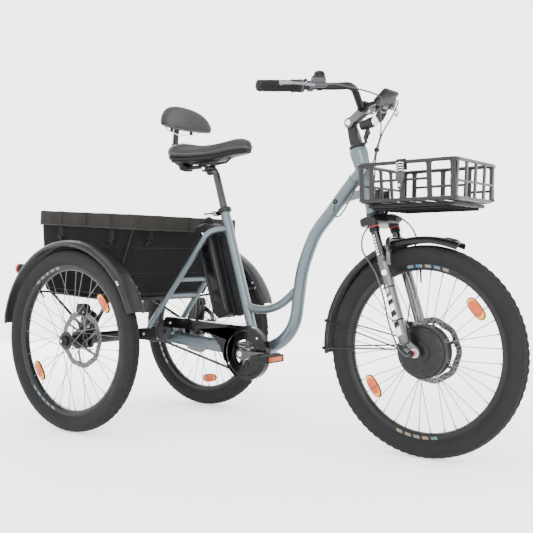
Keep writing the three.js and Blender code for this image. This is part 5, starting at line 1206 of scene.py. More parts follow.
# %% Bent handlebar
def bar_points(side):
    x, z = CLAMP[0], CLAMP[2]
    swept = lambda y: (x + 11 - 164 * (y - 118) / 232, side * y, z + 46 - 14 * (y - 118) / 232)
    return [(x, side * 36, z), (x + 3, side * 52, z + 7), (x + 10, side * 84, z + 31.3),
            (x + 12, side * 104, z + 43.2),
            (x + 7, side * 128, z + 47), swept(158), swept(245), swept(350)]


bar_line = curve(list(reversed(bar_points(-1))) + [(CLAMP[0], 0, CLAMP[2])] + bar_points(1), 150)
piece("bent_bar", sweep(bar_line, 11.1, sides=26, ends="flat"), SATIN_BLACK, "bar",
      ["handlebar"])


def bar_frame(side):
    a, b = (np.array(p, float) for p in bar_points(side)[6:8])
    out = unit(b - a)
    level_out = unit([out[0], out[1], 0])
    ahead = np.array([side * level_out[1], -side * level_out[0], 0])
    return b, out, ahead


def on_bar(side, back):
    end, out, ahead = bar_frame(side)
    return end - out * back


print("bar length", round(float(np.linalg.norm(np.diff(bar_line, axis=0), axis=1).sum())), "mm")

# %% [markdown]
# ## Grips and controls
# A rubber grip has raised rings for the hand to hold. Inside it on the right sits a twist
# shifter, and on both sides a hydraulic brake master with its reservoir and lever blade.

# %% Ribbed grips and twist shifter
def grip_parts(side):
    count = 97
    line = [on_bar(side, 96 - 98 * k / (count - 1)) for k in range(count)]

    def swell(share):
        ribs = 0.75 * (1 if int(share * 48) % 2 else -1) if 0.06 < share < 0.92 else 0
        ends = 1.2 * (share > 0.93) + 0.9 * (share < 0.05)
        return 15.6 + ribs + ends + 0.8 * math.sin(share * 3.1)

    return sweep(line, swell, sides=32, ends="round")


for word, side in (("right", -1), ("left", 1)):
    piece("ribbed_grip_" + word, grip_parts(side), GRIP, "bar", ["grip_" + word], smooth=50)
end, out, ahead = bar_frame(-1)
knurl = lambda i, k: (1.5 if k % 4 < 2 else 0) if 2 <= i <= 5 else 0
shifter = lathe([(12.2, 0), (17.6, 0), (18.4, 2), (17.2, 5), (16.6, 18), (17.4, 22), (19.2, 25),
                 (19.2, 34), (17, 37.5), (12.2, 38)],
                on_bar(-1, 98), -out, 64, True, knurl)
piece("twist_shifter_skin", shifter, PLASTIC, "shifter", ["twist_shifter"])
window = lathe([(19.1, 26), (19.5, 27), (19.5, 32), (19.1, 33)], on_bar(-1, 98), -out, 64, True)
piece("shifter_band", window, GREY_PLASTIC, "shifter")

# %% Brake masters and reservoirs
def oriented(origin, a, b, c):
    a, b, c = unit(a), unit(b), unit(c)
    return lambda x, y, z: origin + a * x + b * y + c * z


def pod(place, x0, x1, y0, y1, z0, z1, r=4):
    """A box with rounded plan corners and softened top and bottom rims."""
    rings = []
    for z, inset in ((z0, 2), (z0 + 1.5, 0.4), (z0 + 3, 0), (z1 - 3, 0), (z1 - 1.2, 0.6), (z1, 2.4)):
        rings.append([place(x, y, z) for x, y in rounded_rectangle(x0 + inset, x1 - inset, y0 + inset,
                y1 - inset, r)])
    return skin(rings)


UP = np.array([0, 0, 1.0])
for word, side in (("right", -1), ("left", 1)):
    end, out, ahead = bar_frame(side)
    start = on_bar(side, 156)
    place = oriented(start, -out, ahead, UP)
    ring = lathe([(12.2, -7.5), (15.4, -7.5), (16, -6.5), (16, 6.5), (15.4, 7.5), (12.2, 7.5)], start,
                 out, 44, True)
    barrel = sweep([start + ahead * 24 + out * 4, start + ahead * 24 - out * 34,
                    start + ahead * 22 - out * 42],
                   lambda t: 9.6 - 2.5 * (t > 0.9), sides=24)
    reservoir = pod(place, -4, 38, 14, 36, 4, 20)
    lug = pod(place, -5, 5, 8, 20, -5, 7, 3)
    piece("brake_master_skin_" + word, [ring, barrel, reservoir, lug], GREY_PLASTIC, "bar",
          ["brake_master_" + word])
    lid = pod(place, -3, 37, 15, 35, 20.2, 23.4)
    piece("reservoir_lid_" + word, [lid], SATIN_BLACK, "bar")
    heads = [bolt(place(x, y, 23.4), UP, 2, 1.4) for x, y in ((0, 18), (34, 32))]
    heads.append(bolt(start + ahead * -12 + UP * 9, (0, 0, 1), 3, 3))
    piece("master_screws_" + word, heads, CHROME, "bar")
    path = curve([start + out * u + ahead * w + UP * -2 for u,
                  w in ((-2, 30), (14, 33), (40, 46), (78, 55), (104, 54))], 26)
    blade = sweep(path, lambda t: 5.4 - 1.2 * math.sin(t * 3.1), sides=18, wide=0.7, up=UP)
    knob = lathe([(0, -7), (4, -6.2), (6.2, -3), (6.6, 0), (6.2, 3), (4, 6.2), (0, 7)],
                 start + out * 107 + ahead * 53.5 - UP * 2, out, 20)
    piece("lever_blade_" + word, [blade, knob], ALLOY, "lever_" + word, ["brake_lever_" + word])
pod_place = oriented(on_bar(-1, 141), *(lambda o, a: (-o, a, UP))(bar_frame(-1)[1], bar_frame(-1)[2]))
piece("assist_switch", [pod(pod_place, -4, 3, -14, 12, 11.5, 20, 2)], PLASTIC, "bar")
piece("assist_button", lathe([(3, 20), (3, 21.4), (0, 21.8)], pod_place(-0.5, -2, 0), UP, 20),
      RED_PLASTIC, "bar")

# %% Bell and display
spot = on_bar(-1, 186) + UP * 12.1
bell = lathe([(0, 0), (13, 0), (14, 3), (16.5, 5), (18.6, 9), (18.8, 14), (19, 16), (17.4, 24),
              (13, 30), (7, 33), (0, 34)], spot, UP, 44)
bell_foot = lathe([(11.6, -6), (13.6, -6), (13.6, 6), (11.6, 6)], on_bar(-1, 186), bar_frame(-1)[1], 36, True)
piece("bell_dome", [bell, bell_foot], GLOSS_BLACK, "bar", ["bell"])
PANEL = CLAMP + np.array([66, 0, 24.0])
tilt = math.radians(41)
panel_ahead, panel_up = np.array([math.cos(tilt), 0, math.sin(tilt)]), np.array([-math.sin(tilt), 0,
        math.cos(tilt)])
panel = oriented(PANEL, panel_ahead, Y_AXIS, panel_up)
holder = [pod(panel, -29, 29, -42, 42, -6, 4.6, 8)]
for s in (-1, 1):
    holder.append(sweep(curve([CLAMP + np.array([12, s * 29, 5]), CLAMP + np.array([34, s * 30, 6]),
                               CLAMP + np.array([56, s * 28, 12])], 10),
                        lambda t: 6 - t, sides=16))
    lo, hi = s * 29 - 5, s * 29 + 5
    holder.append(lathe([(12.6, lo), (16, lo), (17, lo + 1), (17, hi - 1), (16, hi), (12.6, hi)], CLAMP,
                        sides=40, loop=True))
piece("display_holder", holder, PLASTIC, "bar", ["display"])
piece("display_glass", pod(panel, -25, 25, -38, 38, 4.2, 5.9, 6), SCREEN, "bar")
DIGIT = finish("display_mark", (0.25, 0.3, 0.32), 0.4, grain=500, bump=0.05)
bars_on_screen = [block((-18, -28 + 9 * n, 5.7), (-18 + 6 + 3.6 * n, -23 + 9 * n, 6.05), panel)
                  for n in range(5)]
bars_on_screen.append(block((10, -20, 5.7), (13, 20, 6.05), panel))
piece("display_marks", bars_on_screen, DIGIT, "bar")

# %% Headlight and its bracket
LIGHT = np.array([972, 0, 981.0])
a, b = LIGHT + np.array([-24, 0, 22.0]), LIGHT + np.array([28, 0, 32.0])
aim, reach = unit(b - a), float(np.linalg.norm(b - a))
barrel = lathe([(0, 0), (11, 0), (14, 1.6), (15.2, 6), (15.4, 20), (14.6, 21), (14.6, 24), (15.8, 25),
                (16.4, 30), (16.6, reach - 4),
                (15.6, reach - 3.4), (0, reach - 4)], a, aim, 48)
lug = [block((966, -3.8, 983), (978, 3.8, 1000)), lathe([(0, -3.9), (6, -3.9), (6, 3.9), (0, 3.9)],
                                                        LIGHT, sides=24)]
piece("headlight_barrel", [barrel, *lug], SATIN_BLACK, "headlight", ["headlight"], bevel=0.5)
bezel = lathe([(13.2, reach - 3.8), (16.8, reach - 4), (17, reach - 1), (16.2, reach + 0.6),
               (13.8, reach + 0.4), (13.2, reach - 1)], a, aim, 48, True)
piece("headlight_bezel", bezel, CHROME, "headlight")
bowl = lathe([(0, reach - 3.6), (4, reach - 3.4), (9, reach - 2), (13.6, reach - 0.6),
              (12, reach + 0.2), (6, reach + 1), (0, reach + 1.3)], a, aim, 40)
piece("headlight_lens", bowl, CLEAR, "headlight")
ears = []
for s in (-1, 1):
    lo, hi = sorted((s * 4.5, s * 7.8))
    ears.append(lathe([(0, lo), (6.6, lo), (7, lo + 0.6), (7, hi - 0.6), (6.6, hi), (0, hi)], LIGHT,
                      sides=28))
    ears.append(strap(LIGHT + Y_AXIS * s * 6.1, steer(34, s * 6.1, 240), 3.2, 10, STEER_AHEAD))
ears += [strap(steer(20, 0, 226), steer(36, 0, 230), 15, 5, STEER_UP),
         strap(steer(34, 0, 228), steer(35, 0, 244), 15, 5, STEER_AHEAD)]
piece("headlight_bracket", ears, SATIN_BLACK, "fork", bevel=0.5)

# %% [markdown]
# ## Hoses and cables
# A brake hose is stiff enough to stand in a wide arc before it dives to its clip. Each piece
# that crosses a joint rides on no body, and its place is baked into its points.

# %% Hoses from the levers to the clip
HOSE = finish("hose_jacket", (0.009, 0.009, 0.01), 0.38, coat=0.25, grain=1500, bump=0.2)
X0, Z0 = CLAMP[0], CLAMP[2]
CLIP = np.array([X0 + 16, 30, Z0 - 128])


def m(point):
    return ((np.asarray(point) + np.array([REAR_AXLE_X, 0, 0])) * 0.001).tolist()


for word, side in (("right", -1), ("left", 1)):
    end, out, ahead = bar_frame(side)
    start = on_bar(side, 156) + ahead * 24 - out * 42.4
    line = curve([start, start - out * 40, (X0 + 74, side * 62, Z0 + 20), (X0 + 66, side * 44 + 6, Z0 - 16),
                  (X0 + 34, CLIP[1] + side * 6, Z0 - 76), (CLIP[0], CLIP[1] + side * 4, CLIP[2]),
                  (CLIP[0] - 6, CLIP[1] + side * 4, CLIP[2] - 26)], 60)
    hose = piece("brake_hose_" + word, sweep(line, 2.4, sides=12), HOSE, None,
                 ["brake_hoses"] if side < 0 else ())
    m((X0 + 60, 30, Z0 - 20))
    m(CLIP + np.array([0, 0, 12]))
    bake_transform(hose)
clip = pod(oriented(CLIP, (1, 0, 0), Y_AXIS, UP), -6, 6, -9, 9, -6, 6, 3)
piece("hose_clip", clip, PLASTIC, "fork")

# %% Hoses below the clip and the motor cable
front_hose = curve([CLIP + np.array([-6, 4, -26]), steer(20, 33, 140), steer(2, 33, 90),
                    steer(-6, 33, 40), steer(-2, 37, 2),
                    steer(30, 44, -3), steer(58, 46, -24), steer(84, 50, -66),
                    (1098, 76, 640), steer(22, 88, -150), steer(6, 86, -240), steer(-16, 74, -310),
                    steer(-26, 60, -346)], 90)
hose = piece("front_brake_hose", sweep(front_hose, 2.4, sides=12), HOSE, None)
m(steer(30, 70, -70))
m(steer(20, 88, -150))
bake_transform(hose)
rear_hose = curve([CLIP + np.array([-6, -4, -26]), (984, 12, 890), (976, -24, 850), (950, -44, 800),
                   (918, -52, 742), (890, -44, 722),
                   (866, -30, 736), (862, -18, 760)], 60)
hose = piece("rear_brake_hose", sweep(rear_hose, 2.4, sides=12), HOSE, None)
m((982, 20, 884))
m((895, -48, 722))
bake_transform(hose)
cable = curve([steer(8, -70, -36), steer(-16, -80, -60), steer(-28, -84, -100), steer(-14, -86, -146),
               steer(-2, -86, -190),
               steer(0, -85, -260), steer(-4, -85, -330), steer(4, -87, -400), steer(24, -92, -436),
               steer(41, -91, -437)], 80)
hose = piece("motor_cable", sweep(cable, 2.6, sides=12), HOSE, None)
m(steer(8, -70, -50))
m(steer(-10, -86, -150))
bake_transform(hose)
ties = [lathe([(18.2, z - 2), (18.9, z - 1.5), (18.9, z + 1.5), (18.2, z + 2)], steer(17, -65, 0),
              STEER_UP, 30, True) for z in (-230, -330)]
piece("cable_ties", ties, PLASTIC, "lower_fork")

# %% [markdown]
# ## Fenders and tail lights
# A fender is one curved shell: its section has a crown, two soft shoulders and a rolled lip,
# and that section is carried round an arc about the wheel's axle. Thin stays hold it off the
# tyre, with a clip and a small rivet at each end.

# %% Fender shell round an arc
def fender_section(inner, half):
    outer = curve([(inner - 16, -half, 0), (inner - 9, -half + 0.4, 0), (inner - 1.5, -half * 0.84, 0),
                   (inner + 2.6, -half * 0.45, 0),
                   (inner + 3.2, 0, 0), (inner + 2.6, half * 0.45, 0), (inner - 1.5, half * 0.84, 0),
                   (inner - 9, half - 0.4, 0),
                   (inner - 16, half, 0)], 31)
    section = [(p[0], p[1]) for p in outer]
    section += [(inner - 17.6, half - 0.8), (inner - 17.2, half - 2.6), (inner - 15, half - 2.8)]
    inside = [(p[0] - 2.2, p[1] * (1 - 2.4 / half)) for p in outer[::-1]][3:-3]
    return section + inside + [(inner - 15, -half + 2.8), (inner - 17.2, -half + 2.6),
                               (inner - 17.6, -half + 0.8)]


def fender(centre, inner, width, a0, a1, steps=72):
    section = fender_section(inner, width / 2)
    rings = []
    for k in range(steps + 1):
        t = math.radians(a0 + (a1 - a0) * k / steps)
        pinch = 1 - 0.1 * max(0, 1 - k / 4) ** 2 - 0.1 * max(0, 1 - (steps - k) / 4) ** 2
        rings.append([round_wheel(centre, t, r, y * pinch) for r, y in section])
    return skin(rings)


front_centre = WHEELS["front"][0]
piece("front_fender_shell", fender(front_centre, 338, 66, 69, 184), SATIN_BLACK, "lower_fork",
      ["front_fender"])
stay_rods, clips = [], []
for side in (-1, 1):
    for angle in (166, 181):
        tip = round_wheel(front_centre, math.radians(angle), 333, side * 33.5)
        foot = np.array([WHEELBASE - 34, side * 84, AXLE_Z + 12])
        stay_rods.append(sweep([tip, tip * 0.08 + foot * 0.92, foot], 2.3, sides=12))
        clips.append(pod(oriented(tip, foot - tip, np.cross(Y_AXIS, foot - tip), Y_AXIS), -8, 10, -5, 5,
                         -3, 3, 3))
piece("front_fender_stays", stay_rods, SATIN_BLACK, "lower_fork")
clips.append(sweep(curve([round_wheel(front_centre, math.radians(75), 344 - abs(y) * 0.14, y)
                          for y in (-31, -16, 0, 16, 31)], 20), 1.0,
                   up=unit(round_wheel(front_centre, math.radians(75), 1,
                                       0) - np.asarray(front_centre)), ends="flat",
                   section=[(-13, -1.6), (13, -1.6), (13, 1.8), (-13, 1.8)]))
piece("front_fender_clips", clips, PLASTIC, "lower_fork", bevel=0.5)
for word, side in (("right", -1), ("left", 1)):
    centre = WHEELS["rear_" + word][0]
    piece("rear_fender_shell_" + word, fender(centre, 342, 76, 18, 172, 96), SATIN_BLACK, "frame",
          ["rear_fender_" + word])
    rivets = []
    for angle in (30, 34, 146, 150):
        face = round_wheel(centre, math.radians(angle), 333, -side * 37.6)
        rivets.append(bolt(face, (0, -side, 0), 4.4, 2.4, socket=False))
    for angle in (36, 37.6):
        rivets.append(bolt(round_wheel(centre, math.radians(angle), 334, side * 37.6), (0, side, 0), 4,
                           2.2, socket=False))
    piece("fender_rivets_" + word, rivets, STEEL, "frame")

# %% Tail lights
for word, side in (("right", -1), ("left", 1)):
    centre = WHEELS["rear_" + word][0]
    seat_point = round_wheel(centre, math.radians(138), 366, 0)
    aim = unit((-1, 0, 0.18))
    housing = [lathe([(0, -14), (12, -14), (17, -10), (19.2, -2), (19.4, 3.6), (0, 3.6)], seat_point,
                     aim, 48),
               pod(oriented(round_wheel(centre, math.radians(138), 350, 0), Y_AXIS,
                            (math.sin(math.radians(42)), 0, math.cos(math.radians(42))),
                            (-math.cos(math.radians(42)), 0, math.sin(math.radians(42)))), -12, 12, -14,
                            14, -5, 10, 4)]
    piece("tail_light_housing_" + word, housing, PLASTIC, "frame", ["tail_light_" + word])
    dome = lathe([(19.2, 3.4), (19.6, 12.4), (17, 15.6), (8, 17.6), (0, 18.4)], seat_point, aim, 40)
    ridges = [lathe([(r - 0.8, 17.6 - (r / 8) ** 2.1 * 0.55), (r, 18.5 - (r / 8) ** 2.1 * 0.55),
                     (r + 0.8, 17.4 - (r / 8) ** 2.1 * 0.55)],
                    seat_point, aim, 40, True) for r in (4, 8, 12)]
    piece("tail_light_lens_" + word, [dome, *ridges], RED, "frame")

# %% [markdown]
# ## Cargo bag and cover
# The bag is a sewn tub of heavy cloth held on stiffeners: its walls pull in a little between
# the seams and crease towards the corners. A cover with a short skirt drops over its rim. A
# closed loft from rings of points gives both, with small smooth moves for slack and folds.
# A simulated cloth would sag a little more truly, but moves made in code are the same at
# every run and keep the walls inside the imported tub's space.

# %% Rings with the same points on every side
def plan_ring(x0, x1, y0, y1, r, side_points=30, corner_points=6):
    corners = [(x1 - r, y1 - r, 0), (x0 + r, y1 - r, 90), (x0 + r, y0 + r, 180), (x1 - r, y0 + r, 270)]
    arcs = [[(cx + r * math.cos(math.radians(t0 + 90 * k / corner_points)),
              cy + r * math.sin(math.radians(t0 + 90 * k / corner_points)))
             for k in range(corner_points + 1)] for cx, cy, t0 in corners]
    points, tags = [], []
    for n, arc in enumerate(arcs):
        points += arc
        tags += [(n, None)] * len(arc)
        a, b = np.array(arc[-1]), np.array(arcs[(n + 1) % 4][0])
        for k in range(1, side_points):
            points.append(tuple(a + (b - a) * k / side_points))
            tags.append((n, k / side_points))
    return points, tags


OUTWARD = {0: (0, 1), 1: (-1, 0), 2: (0, -1), 3: (1, 0)}


def slack(side, u, s):
    """How far a wall stands out of its plane, in mm, at share u along it and share s up it."""
    if u is None:
        return 0.0
    middle = math.sin(math.pi * u)
    pull = -6.5 * middle * math.sin(math.pi * min(1, s * 1.15)) ** 0.8
    fold = 1.7 * math.sin(2.2 * math.pi * (3 * u + 0.7 * s) + side * 1.3) * math.sin(math.pi * s)
    crease = 1.5 * math.sin(17 * (u * 0.8 + s * 0.9) + side) * (1 - middle) * (1 - s)
    gather = 0.9 * math.sin(2 * math.pi * u * 13 + side * 2) * max(0, s - 0.72) / 0.28
    return pull + fold + crease + gather


def tub_ring(s, inset):
    x0, x1 = -509 + 16 * (1 - s) + inset, -6 - 122 * (1 - s) - inset
    half = 261 - 16 * (1 - s) - inset
    points, tags = plan_ring(x0, x1, -half, half, 15)
    z = -295 + 290 * s
    out = []
    for (x, y), (side, u) in zip(points, tags):
        d = slack(side, u, s)
        ox, oy = OUTWARD[side]
        out.append(rack(x + ox * d, y + oy * d, z + (0.8 * math.sin(20 * u) if u and s == 1 else 0)))
    return out


shares = np.r_[np.linspace(0, 1, 26)]
tub = [tub_ring(s, 0) for s in shares] + [tub_ring(s, 3.2)
                                          for s in shares[::-1][:-1]] + [tub_ring(0.012, 3.4)]
piece("cargo_bag_tub", skin(tub), FABRIC, "frame", ["cargo_bag"], smooth=60)

# %% Corner seams, binding and base panel
seams = []
for n in range(4):
    line = []
    for s in np.linspace(0.02, 0.97, 22):
        line.append(np.array(tub_ring(s, -0.9)[n * 36 + 3]))
    seams.append(sweep(line, 2.1, sides=10))
for s in (0.035, 0.985):
    loop = [np.array(p) for p in tub_ring(s, -1.0)]
    loop = loop + [loop[0]]
    seams.append(sweep(loop[::2] + [loop[0]], 1.7 if s < 0.5 else 2.4, sides=8, up=UP))
piece("bag_bindings", seams, BINDING, "frame")
stitches = []
for start in (2 * 36 + 7, 3 * 36 + 7):
    for s in (0.3, 0.62):
        row = [np.array(tub_ring(s, -0.25)[start + k]) for k in range(0, 28)]
        for k in range(0, 27):
            stitches.append(sweep([row[k], row[k] * 0.4 + row[k + 1] * 0.6], 0.5, sides=5, ends="flat"))
piece("bag_stitches", stitches, STITCH, "frame")

# %% Cover with its skirt
def cover_ring(grow, z, inset=0.0, wave=0.0):
    x0, x1, half = -257.5 - 257.5 * grow + inset, -257.5 + 257.5 * grow - inset, 267 * grow - inset
    points, tags = plan_ring(x0, x1, -half, half, max(0.6, 14 * grow - inset * 0.5))
    out = []
    for (x, y), (side, u) in zip(points, tags):
        v = 0 if u is None else u
        ripple = 0.8 * math.sin(2 * math.pi * v * 4 + side) + 0.5 * math.sin(2 * math.pi * v * 7 + 2 * side)
        lift = wave * ripple * (u is not None)
        sag = -9 * (1 - grow ** 2) + 1.1 * math.sin(x / 41) * math.sin(y / 37) * (1 - grow)
        ox, oy = OUTWARD[side]
        d = 0
        if u is not None and z <= -3:
            d = 1.3 * math.sin(2 * math.pi * v * 6 + side * 2) * (-z / 52) - 1.2 * math.sin(math.pi * v)
        out.append(rack(x + ox * d, y + oy * d, z + sag + lift))
    return out


steps = [0.02, 0.2, 0.4, 0.6, 0.75, 0.87, 0.94, 0.98]
cover = [cover_ring(g, -1.2) for g in steps] + [cover_ring(0.994, -0.4, wave=0.5),
                                                cover_ring(1.0, -3, wave=1)]
cover += [cover_ring(1.0, z, wave=0.8) for z in (-9, -18, -28, -38, -46, -52)]
cover += [cover_ring(1.0, z, 2.2, 0.8) for z in (-52, -46, -38, -28, -18, -9, -5)] + [cover_ring(g,
        -3.4, 2.2) for g in steps[::-1]]
cover_piece = piece("bag_cover_cloth", skin(cover), COVER_FABRIC, "bag_cover", ["bag_cover"],
                    smooth=60)
hem = [np.array(p) for p in cover_ring(1.0, -50.5, -0.8, 0.8)]
hem_piece = piece("bag_cover_hem", sweep(hem[::2] + [hem[0]], 2.2, sides=8, up=UP), BINDING,
                  "bag_cover")
ribs = []
for x in (-128, -257, -386):
    for s in (-1, 1):
        ribs.append(sweep([rack(x, s * 268.2, -3), rack(x, s * 268.8, -26), rack(x, s * 268.2, -50)],
                          1.6, sides=8))
for y in (-134, 0, 134):
    for x in (1.0, -516.0):
        ribs.append(sweep([rack(x, y, -3), rack(x, y, -26), rack(x, y, -50)], 1.6, sides=8))
rib_piece = piece("bag_cover_seams", ribs, BINDING, "bag_cover")

# %% Elastic loops and toggles
def toggle(point, out, down):
    side = unit(np.cross(out, down))
    loop = [point + down * d + side * w + out * 2.5 for d,
            w in ((-18, -4), (10, -7), (26, -5), (30, 0), (26, 5), (10, 7), (-18, 4))]
    barrel = lathe([(3, -11), (5, -10), (5.4, -3), (4, 0), (5.4, 3), (5, 10), (3, 11)],
                   point + down * 18 + out * 5, side, 16)
    return sweep(curve(loop, 26), 2.0, sides=8), barrel


loops, barrels = [], []
rack_down = -(rack(0, 0, 1) - rack(0, 0, 0))
for x in (-120, -390):
    for s in (-1, 1):
        a, b = toggle(rack(x, s * 263, -76), Y_AXIS * s, rack_down)
        loops.append(a)
        barrels.append(b)
for y in (-170, 170):
    slope = unit(rack(-128, 0, -295) - rack(-6, 0, -5))
    a, b = toggle(rack(-6, y, -5) + slope * 74, unit(np.cross(Y_AXIS, slope)) * -1
                  if np.cross(Y_AXIS, slope)[0] < 0 else unit(np.cross(Y_AXIS, slope)), slope)
    loops.append(a)
    barrels.append(b)
piece("bag_elastics", loops, BINDING, "frame")
piece("bag_toggles", barrels, PLASTIC, "frame")

# %% [markdown]
# ## Seat post, saddle and backrest
# The saddle is foam under a stretched cover on a moulded pan, so its section is crowned and
# its sides roll under to a welted edge. A loft of superellipse rings along the saddle gives
# that crown everywhere, with the long dip in the middle and the wide rear lobes.

# %% Seat post
HINGE = (325, 912)
post = [lathe([(0, 332), (13.2, 332), (13.6, 334), (13.6, 636), (12.8, 640), (0, 640)], seat(0, 0, 0),
              SEAT_UP, 40)]
head = [lathe([(6.4, -16), (11, -16), (12, -15), (12, 15), (11, 16), (6.4, 16)],
              (HINGE[0], 0, HINGE[1]), sides=36, loop=True),
        sweep([seat(0, 0, 634), seat(0, 0, 650), np.array([HINGE[0], 0, HINGE[1] - 12.0])],
              lambda t: 13 - 2 * t, sides=24)]
POST_BLACK = finish("anodised_black", (0.02, 0.02, 0.022), 0.22, metal=0.8, coat=0.3, grain=1800,
                    bump=0.1, stretch=(1, 1, 12))
piece("seat_post_tube", post, POST_BLACK, "seat_post", ["seat_post"])
piece("seat_post_head", head, DARK_STEEL, "seat_post")

# %% Saddle cushion
PLAN = [(199.5, 30), (203, 70), (212, 92), (226, 103), (246, 107), (270, 105), (298, 95), (330, 76),
        (362, 57), (394, 45), (430, 38),
        (462, 34), (488, 29), (504, 21), (513, 11), (516.6, 2)]
TOP = [(199.5, 980), (203, 992), (212, 1001), (226, 1006), (246, 1007), (270, 1003), (298, 997),
       (330, 993), (362, 995), (394, 999),
       (430, 1004), (462, 1007.5), (488, 1006), (504, 998), (513, 986), (516.6, 972)]
BOTTOM = [(199.5, 966), (212, 958), (246, 947), (298, 944), (362, 950), (430, 960), (488, 964), (516.6, 966)]


def table(rows, x):
    return float(np.interp(x, [r[0] for r in rows], [r[1] for r in rows]))


def saddle_ring(x, shrink=0.0, drop=0.0):
    half, top, low = table(PLAN, x) - shrink, table(TOP, x) - shrink - drop, table(BOTTOM, x)
    mid = low + (top - low) * 0.3
    ring = []
    for k in range(48):
        t = 2 * math.pi * k / 48
        c, s = math.cos(t), math.sin(t)
        y = half * math.copysign(abs(c) ** 0.72, c)
        if s >= 0:
            z = mid + (top - mid) * s ** 0.85
            z -= 2.6 * math.exp(-(y / 16) ** 2) * (230 < x < 440)
        else:
            z = mid - (mid - low) * abs(s) ** 0.4
        ring.append((x, y, z))
    return ring


xs = np.concatenate([[199.5, 201, 204, 208], np.linspace(214, 500, 30), [505, 509, 513, 515.6, 516.6]])
cushion = piece("saddle_cushion", skin([saddle_ring(x) for x in xs]), VINYL, "saddle",
                ["saddle"], smooth=80, soft=1)
welts = []
for s in (-1, 1):
    line = [np.array([x, s * (table(PLAN, x) - 0.4), table(BOTTOM, x) + (table(TOP, x) - table(BOTTOM,
            x)) * 0.28]) for x in xs[1:-1]]
    welts.append(sweep(curve(line, 60), 1.5, sides=8))
seam_line = [np.array([300 - 64 * math.cos(a), 92 * math.sin(a), 0]) for a in np.linspace(-1.15, 1.15, 40)]
for p in seam_line:
    half = table(PLAN, p[0])
    c = min(1, abs(p[1]) / half)
    t = math.acos(min(1, c ** (1 / 0.72)))
    low, top = table(BOTTOM, p[0]), table(TOP, p[0])
    groove = 2.6 * math.exp(-(p[1] / 16) ** 2)
    p[2] = low + (top - low) * 0.3 + (top - low) * 0.7 * math.sin(t) ** 0.85 - groove + 0.1
welts.append(sweep(seam_line, 1.3, sides=8))
piece("saddle_welts", welts, STITCH, "saddle")

# %% Saddle pan, rails and clamp
def pan_ring(x):
    half, low = table(PLAN, x) - 5, table(BOTTOM, x)
    return [(x, y, z) for y, z in rounded_rectangle(-half, half, low - 11, low + 6, min(8, half * 0.5), 4)]


pan = skin([pan_ring(x) for x in np.linspace(206, 508, 40)])
piece("saddle_pan", pan, PLASTIC, "saddle")
rails, clamp = [], []
for s in (-1, 1):
    y = s * 22
    rails.append(sweep(curve([(429, y * 0.7, 958), (400, y * 0.9, 940), (375, y, 932), (275, y, 932),
                              (255, y * 1.2, 938), (241, y * 1.4, 952)], 40),
                       4, sides=14))
    lo, hi = sorted((s * 19, s * 28))
    clamp.append(lathe([(0, lo), (11, lo), (12, lo + 1), (12, hi - 1), (11, hi), (0, hi)],
                       (325, 0, 912), sides=36))
    clamp.append(block((315, lo, 912), (335, hi, 930)))
clamp.append(pod(oriented(np.array([325, 0, 927.0]), (1, 0, 0), Y_AXIS, UP), -22, 22, -28, 28, 0, 11, 4))
piece("saddle_rails", rails, DARK_STEEL, "saddle")
arm = [pod(oriented(np.array([0, 0, 916.0]), (1, 0, 0), Y_AXIS, UP), 230, 310, -12, 12, 0, 12, 4),
       lathe([(6.4, -12), (15, -12), (16, -11), (16, 11), (15, 12), (6.4, 12)], (222, 0, 925), sides=40,
             loop=True)]
piece("saddle_clamp", clamp + arm, SATIN_BLACK, "saddle", bevel=0.8)
nuts = [bolt((325, s * 28, 912), (0, s, 0), 7, 4.5, socket=False) for s in (-1, 1)]
piece("saddle_clamp_nuts", nuts, CHROME, "saddle")

# %% Backrest bar, knob and wire
bar_parts = []
for s in (-1, 1):
    lo, hi = sorted((s * 14, s * 20))
    bar_parts.append(lathe([(0, lo), (14.2, lo), (15, lo + 1), (15, hi - 1), (14.2, hi), (0, hi)],
                           (222, 0, 925), sides=40))
    bar_parts.append(strap((222, s * 17, 925), (172, s * 17, 955), 6, 18))
bar_parts.append(pod(oriented(np.array([171, 0, 955.0]), (1, 0, 0), Y_AXIS, UP), -11, 11, -20, 20, -10,
                     10, 4))
bar_parts.append(sweep(curve([(171, 0, 948), (168, 0, 985), (166, 0, 1017), (171, 0, 1060),
                              (181, 0, 1098)], 24), 1.0, up=Y_AXIS, ends="flat",
                       section=[(-3, -12), (-4, -10), (-4, 10), (-3, 12), (3, 12), (4, 10), (4, -10),
                                (3, -12)]))
piece("backrest_bar_skin", bar_parts, SATIN_BLACK, "backrest", ["backrest_bar"], bevel=0.5)
lobes = lambda i, k: (1.3 * math.cos(2 * math.pi * k * 6 / 48)) if 1 <= i <= 4 else 0
knobs = [lathe([(0, -20.4), (11, -20.4), (13, -22), (13, -29), (11, -31), (0, -31.5)], (222, 0, 925),
               sides=48, shape=lobes),
         lathe([(0, 4), (9, 4), (10.4, 6), (10.4, 13), (8.6, 15), (0, 15.4)], (166, 0, 1004),
               (-1, 0, 0.1), 48, shape=lobes)]
for y in (-52, 52):
    knobs.append(lathe([(0, -6), (5, -6), (6, -4), (6, 4), (5, 6), (0, 6)], (196, y, 1056), UP, 24))
piece("backrest_knobs", knobs, PLASTIC, "backrest")
wire = sweep(curve([(204, -96, 1066), (198, -72, 1052), (192, -46, 1050), (186, -14, 1046),
                    (186, 14, 1046), (192, 46, 1050),
                    (198, 72, 1052), (204, 96, 1066)], 50), 2, sides=10)
piece("backrest_wire", wire, CHROME, "backrest")

# %% Backrest pad
def bezier(a, b, c, d, count):
    t = np.linspace(0, 1, count)[:, None]
    a, b, c, d = (np.array(p, float) for p in (a, b, c, d))
    return a * (1 - t) ** 3 + 3 * b * t * (1 - t) ** 2 + 3 * c * t ** 2 * (1 - t) + d * t ** 3


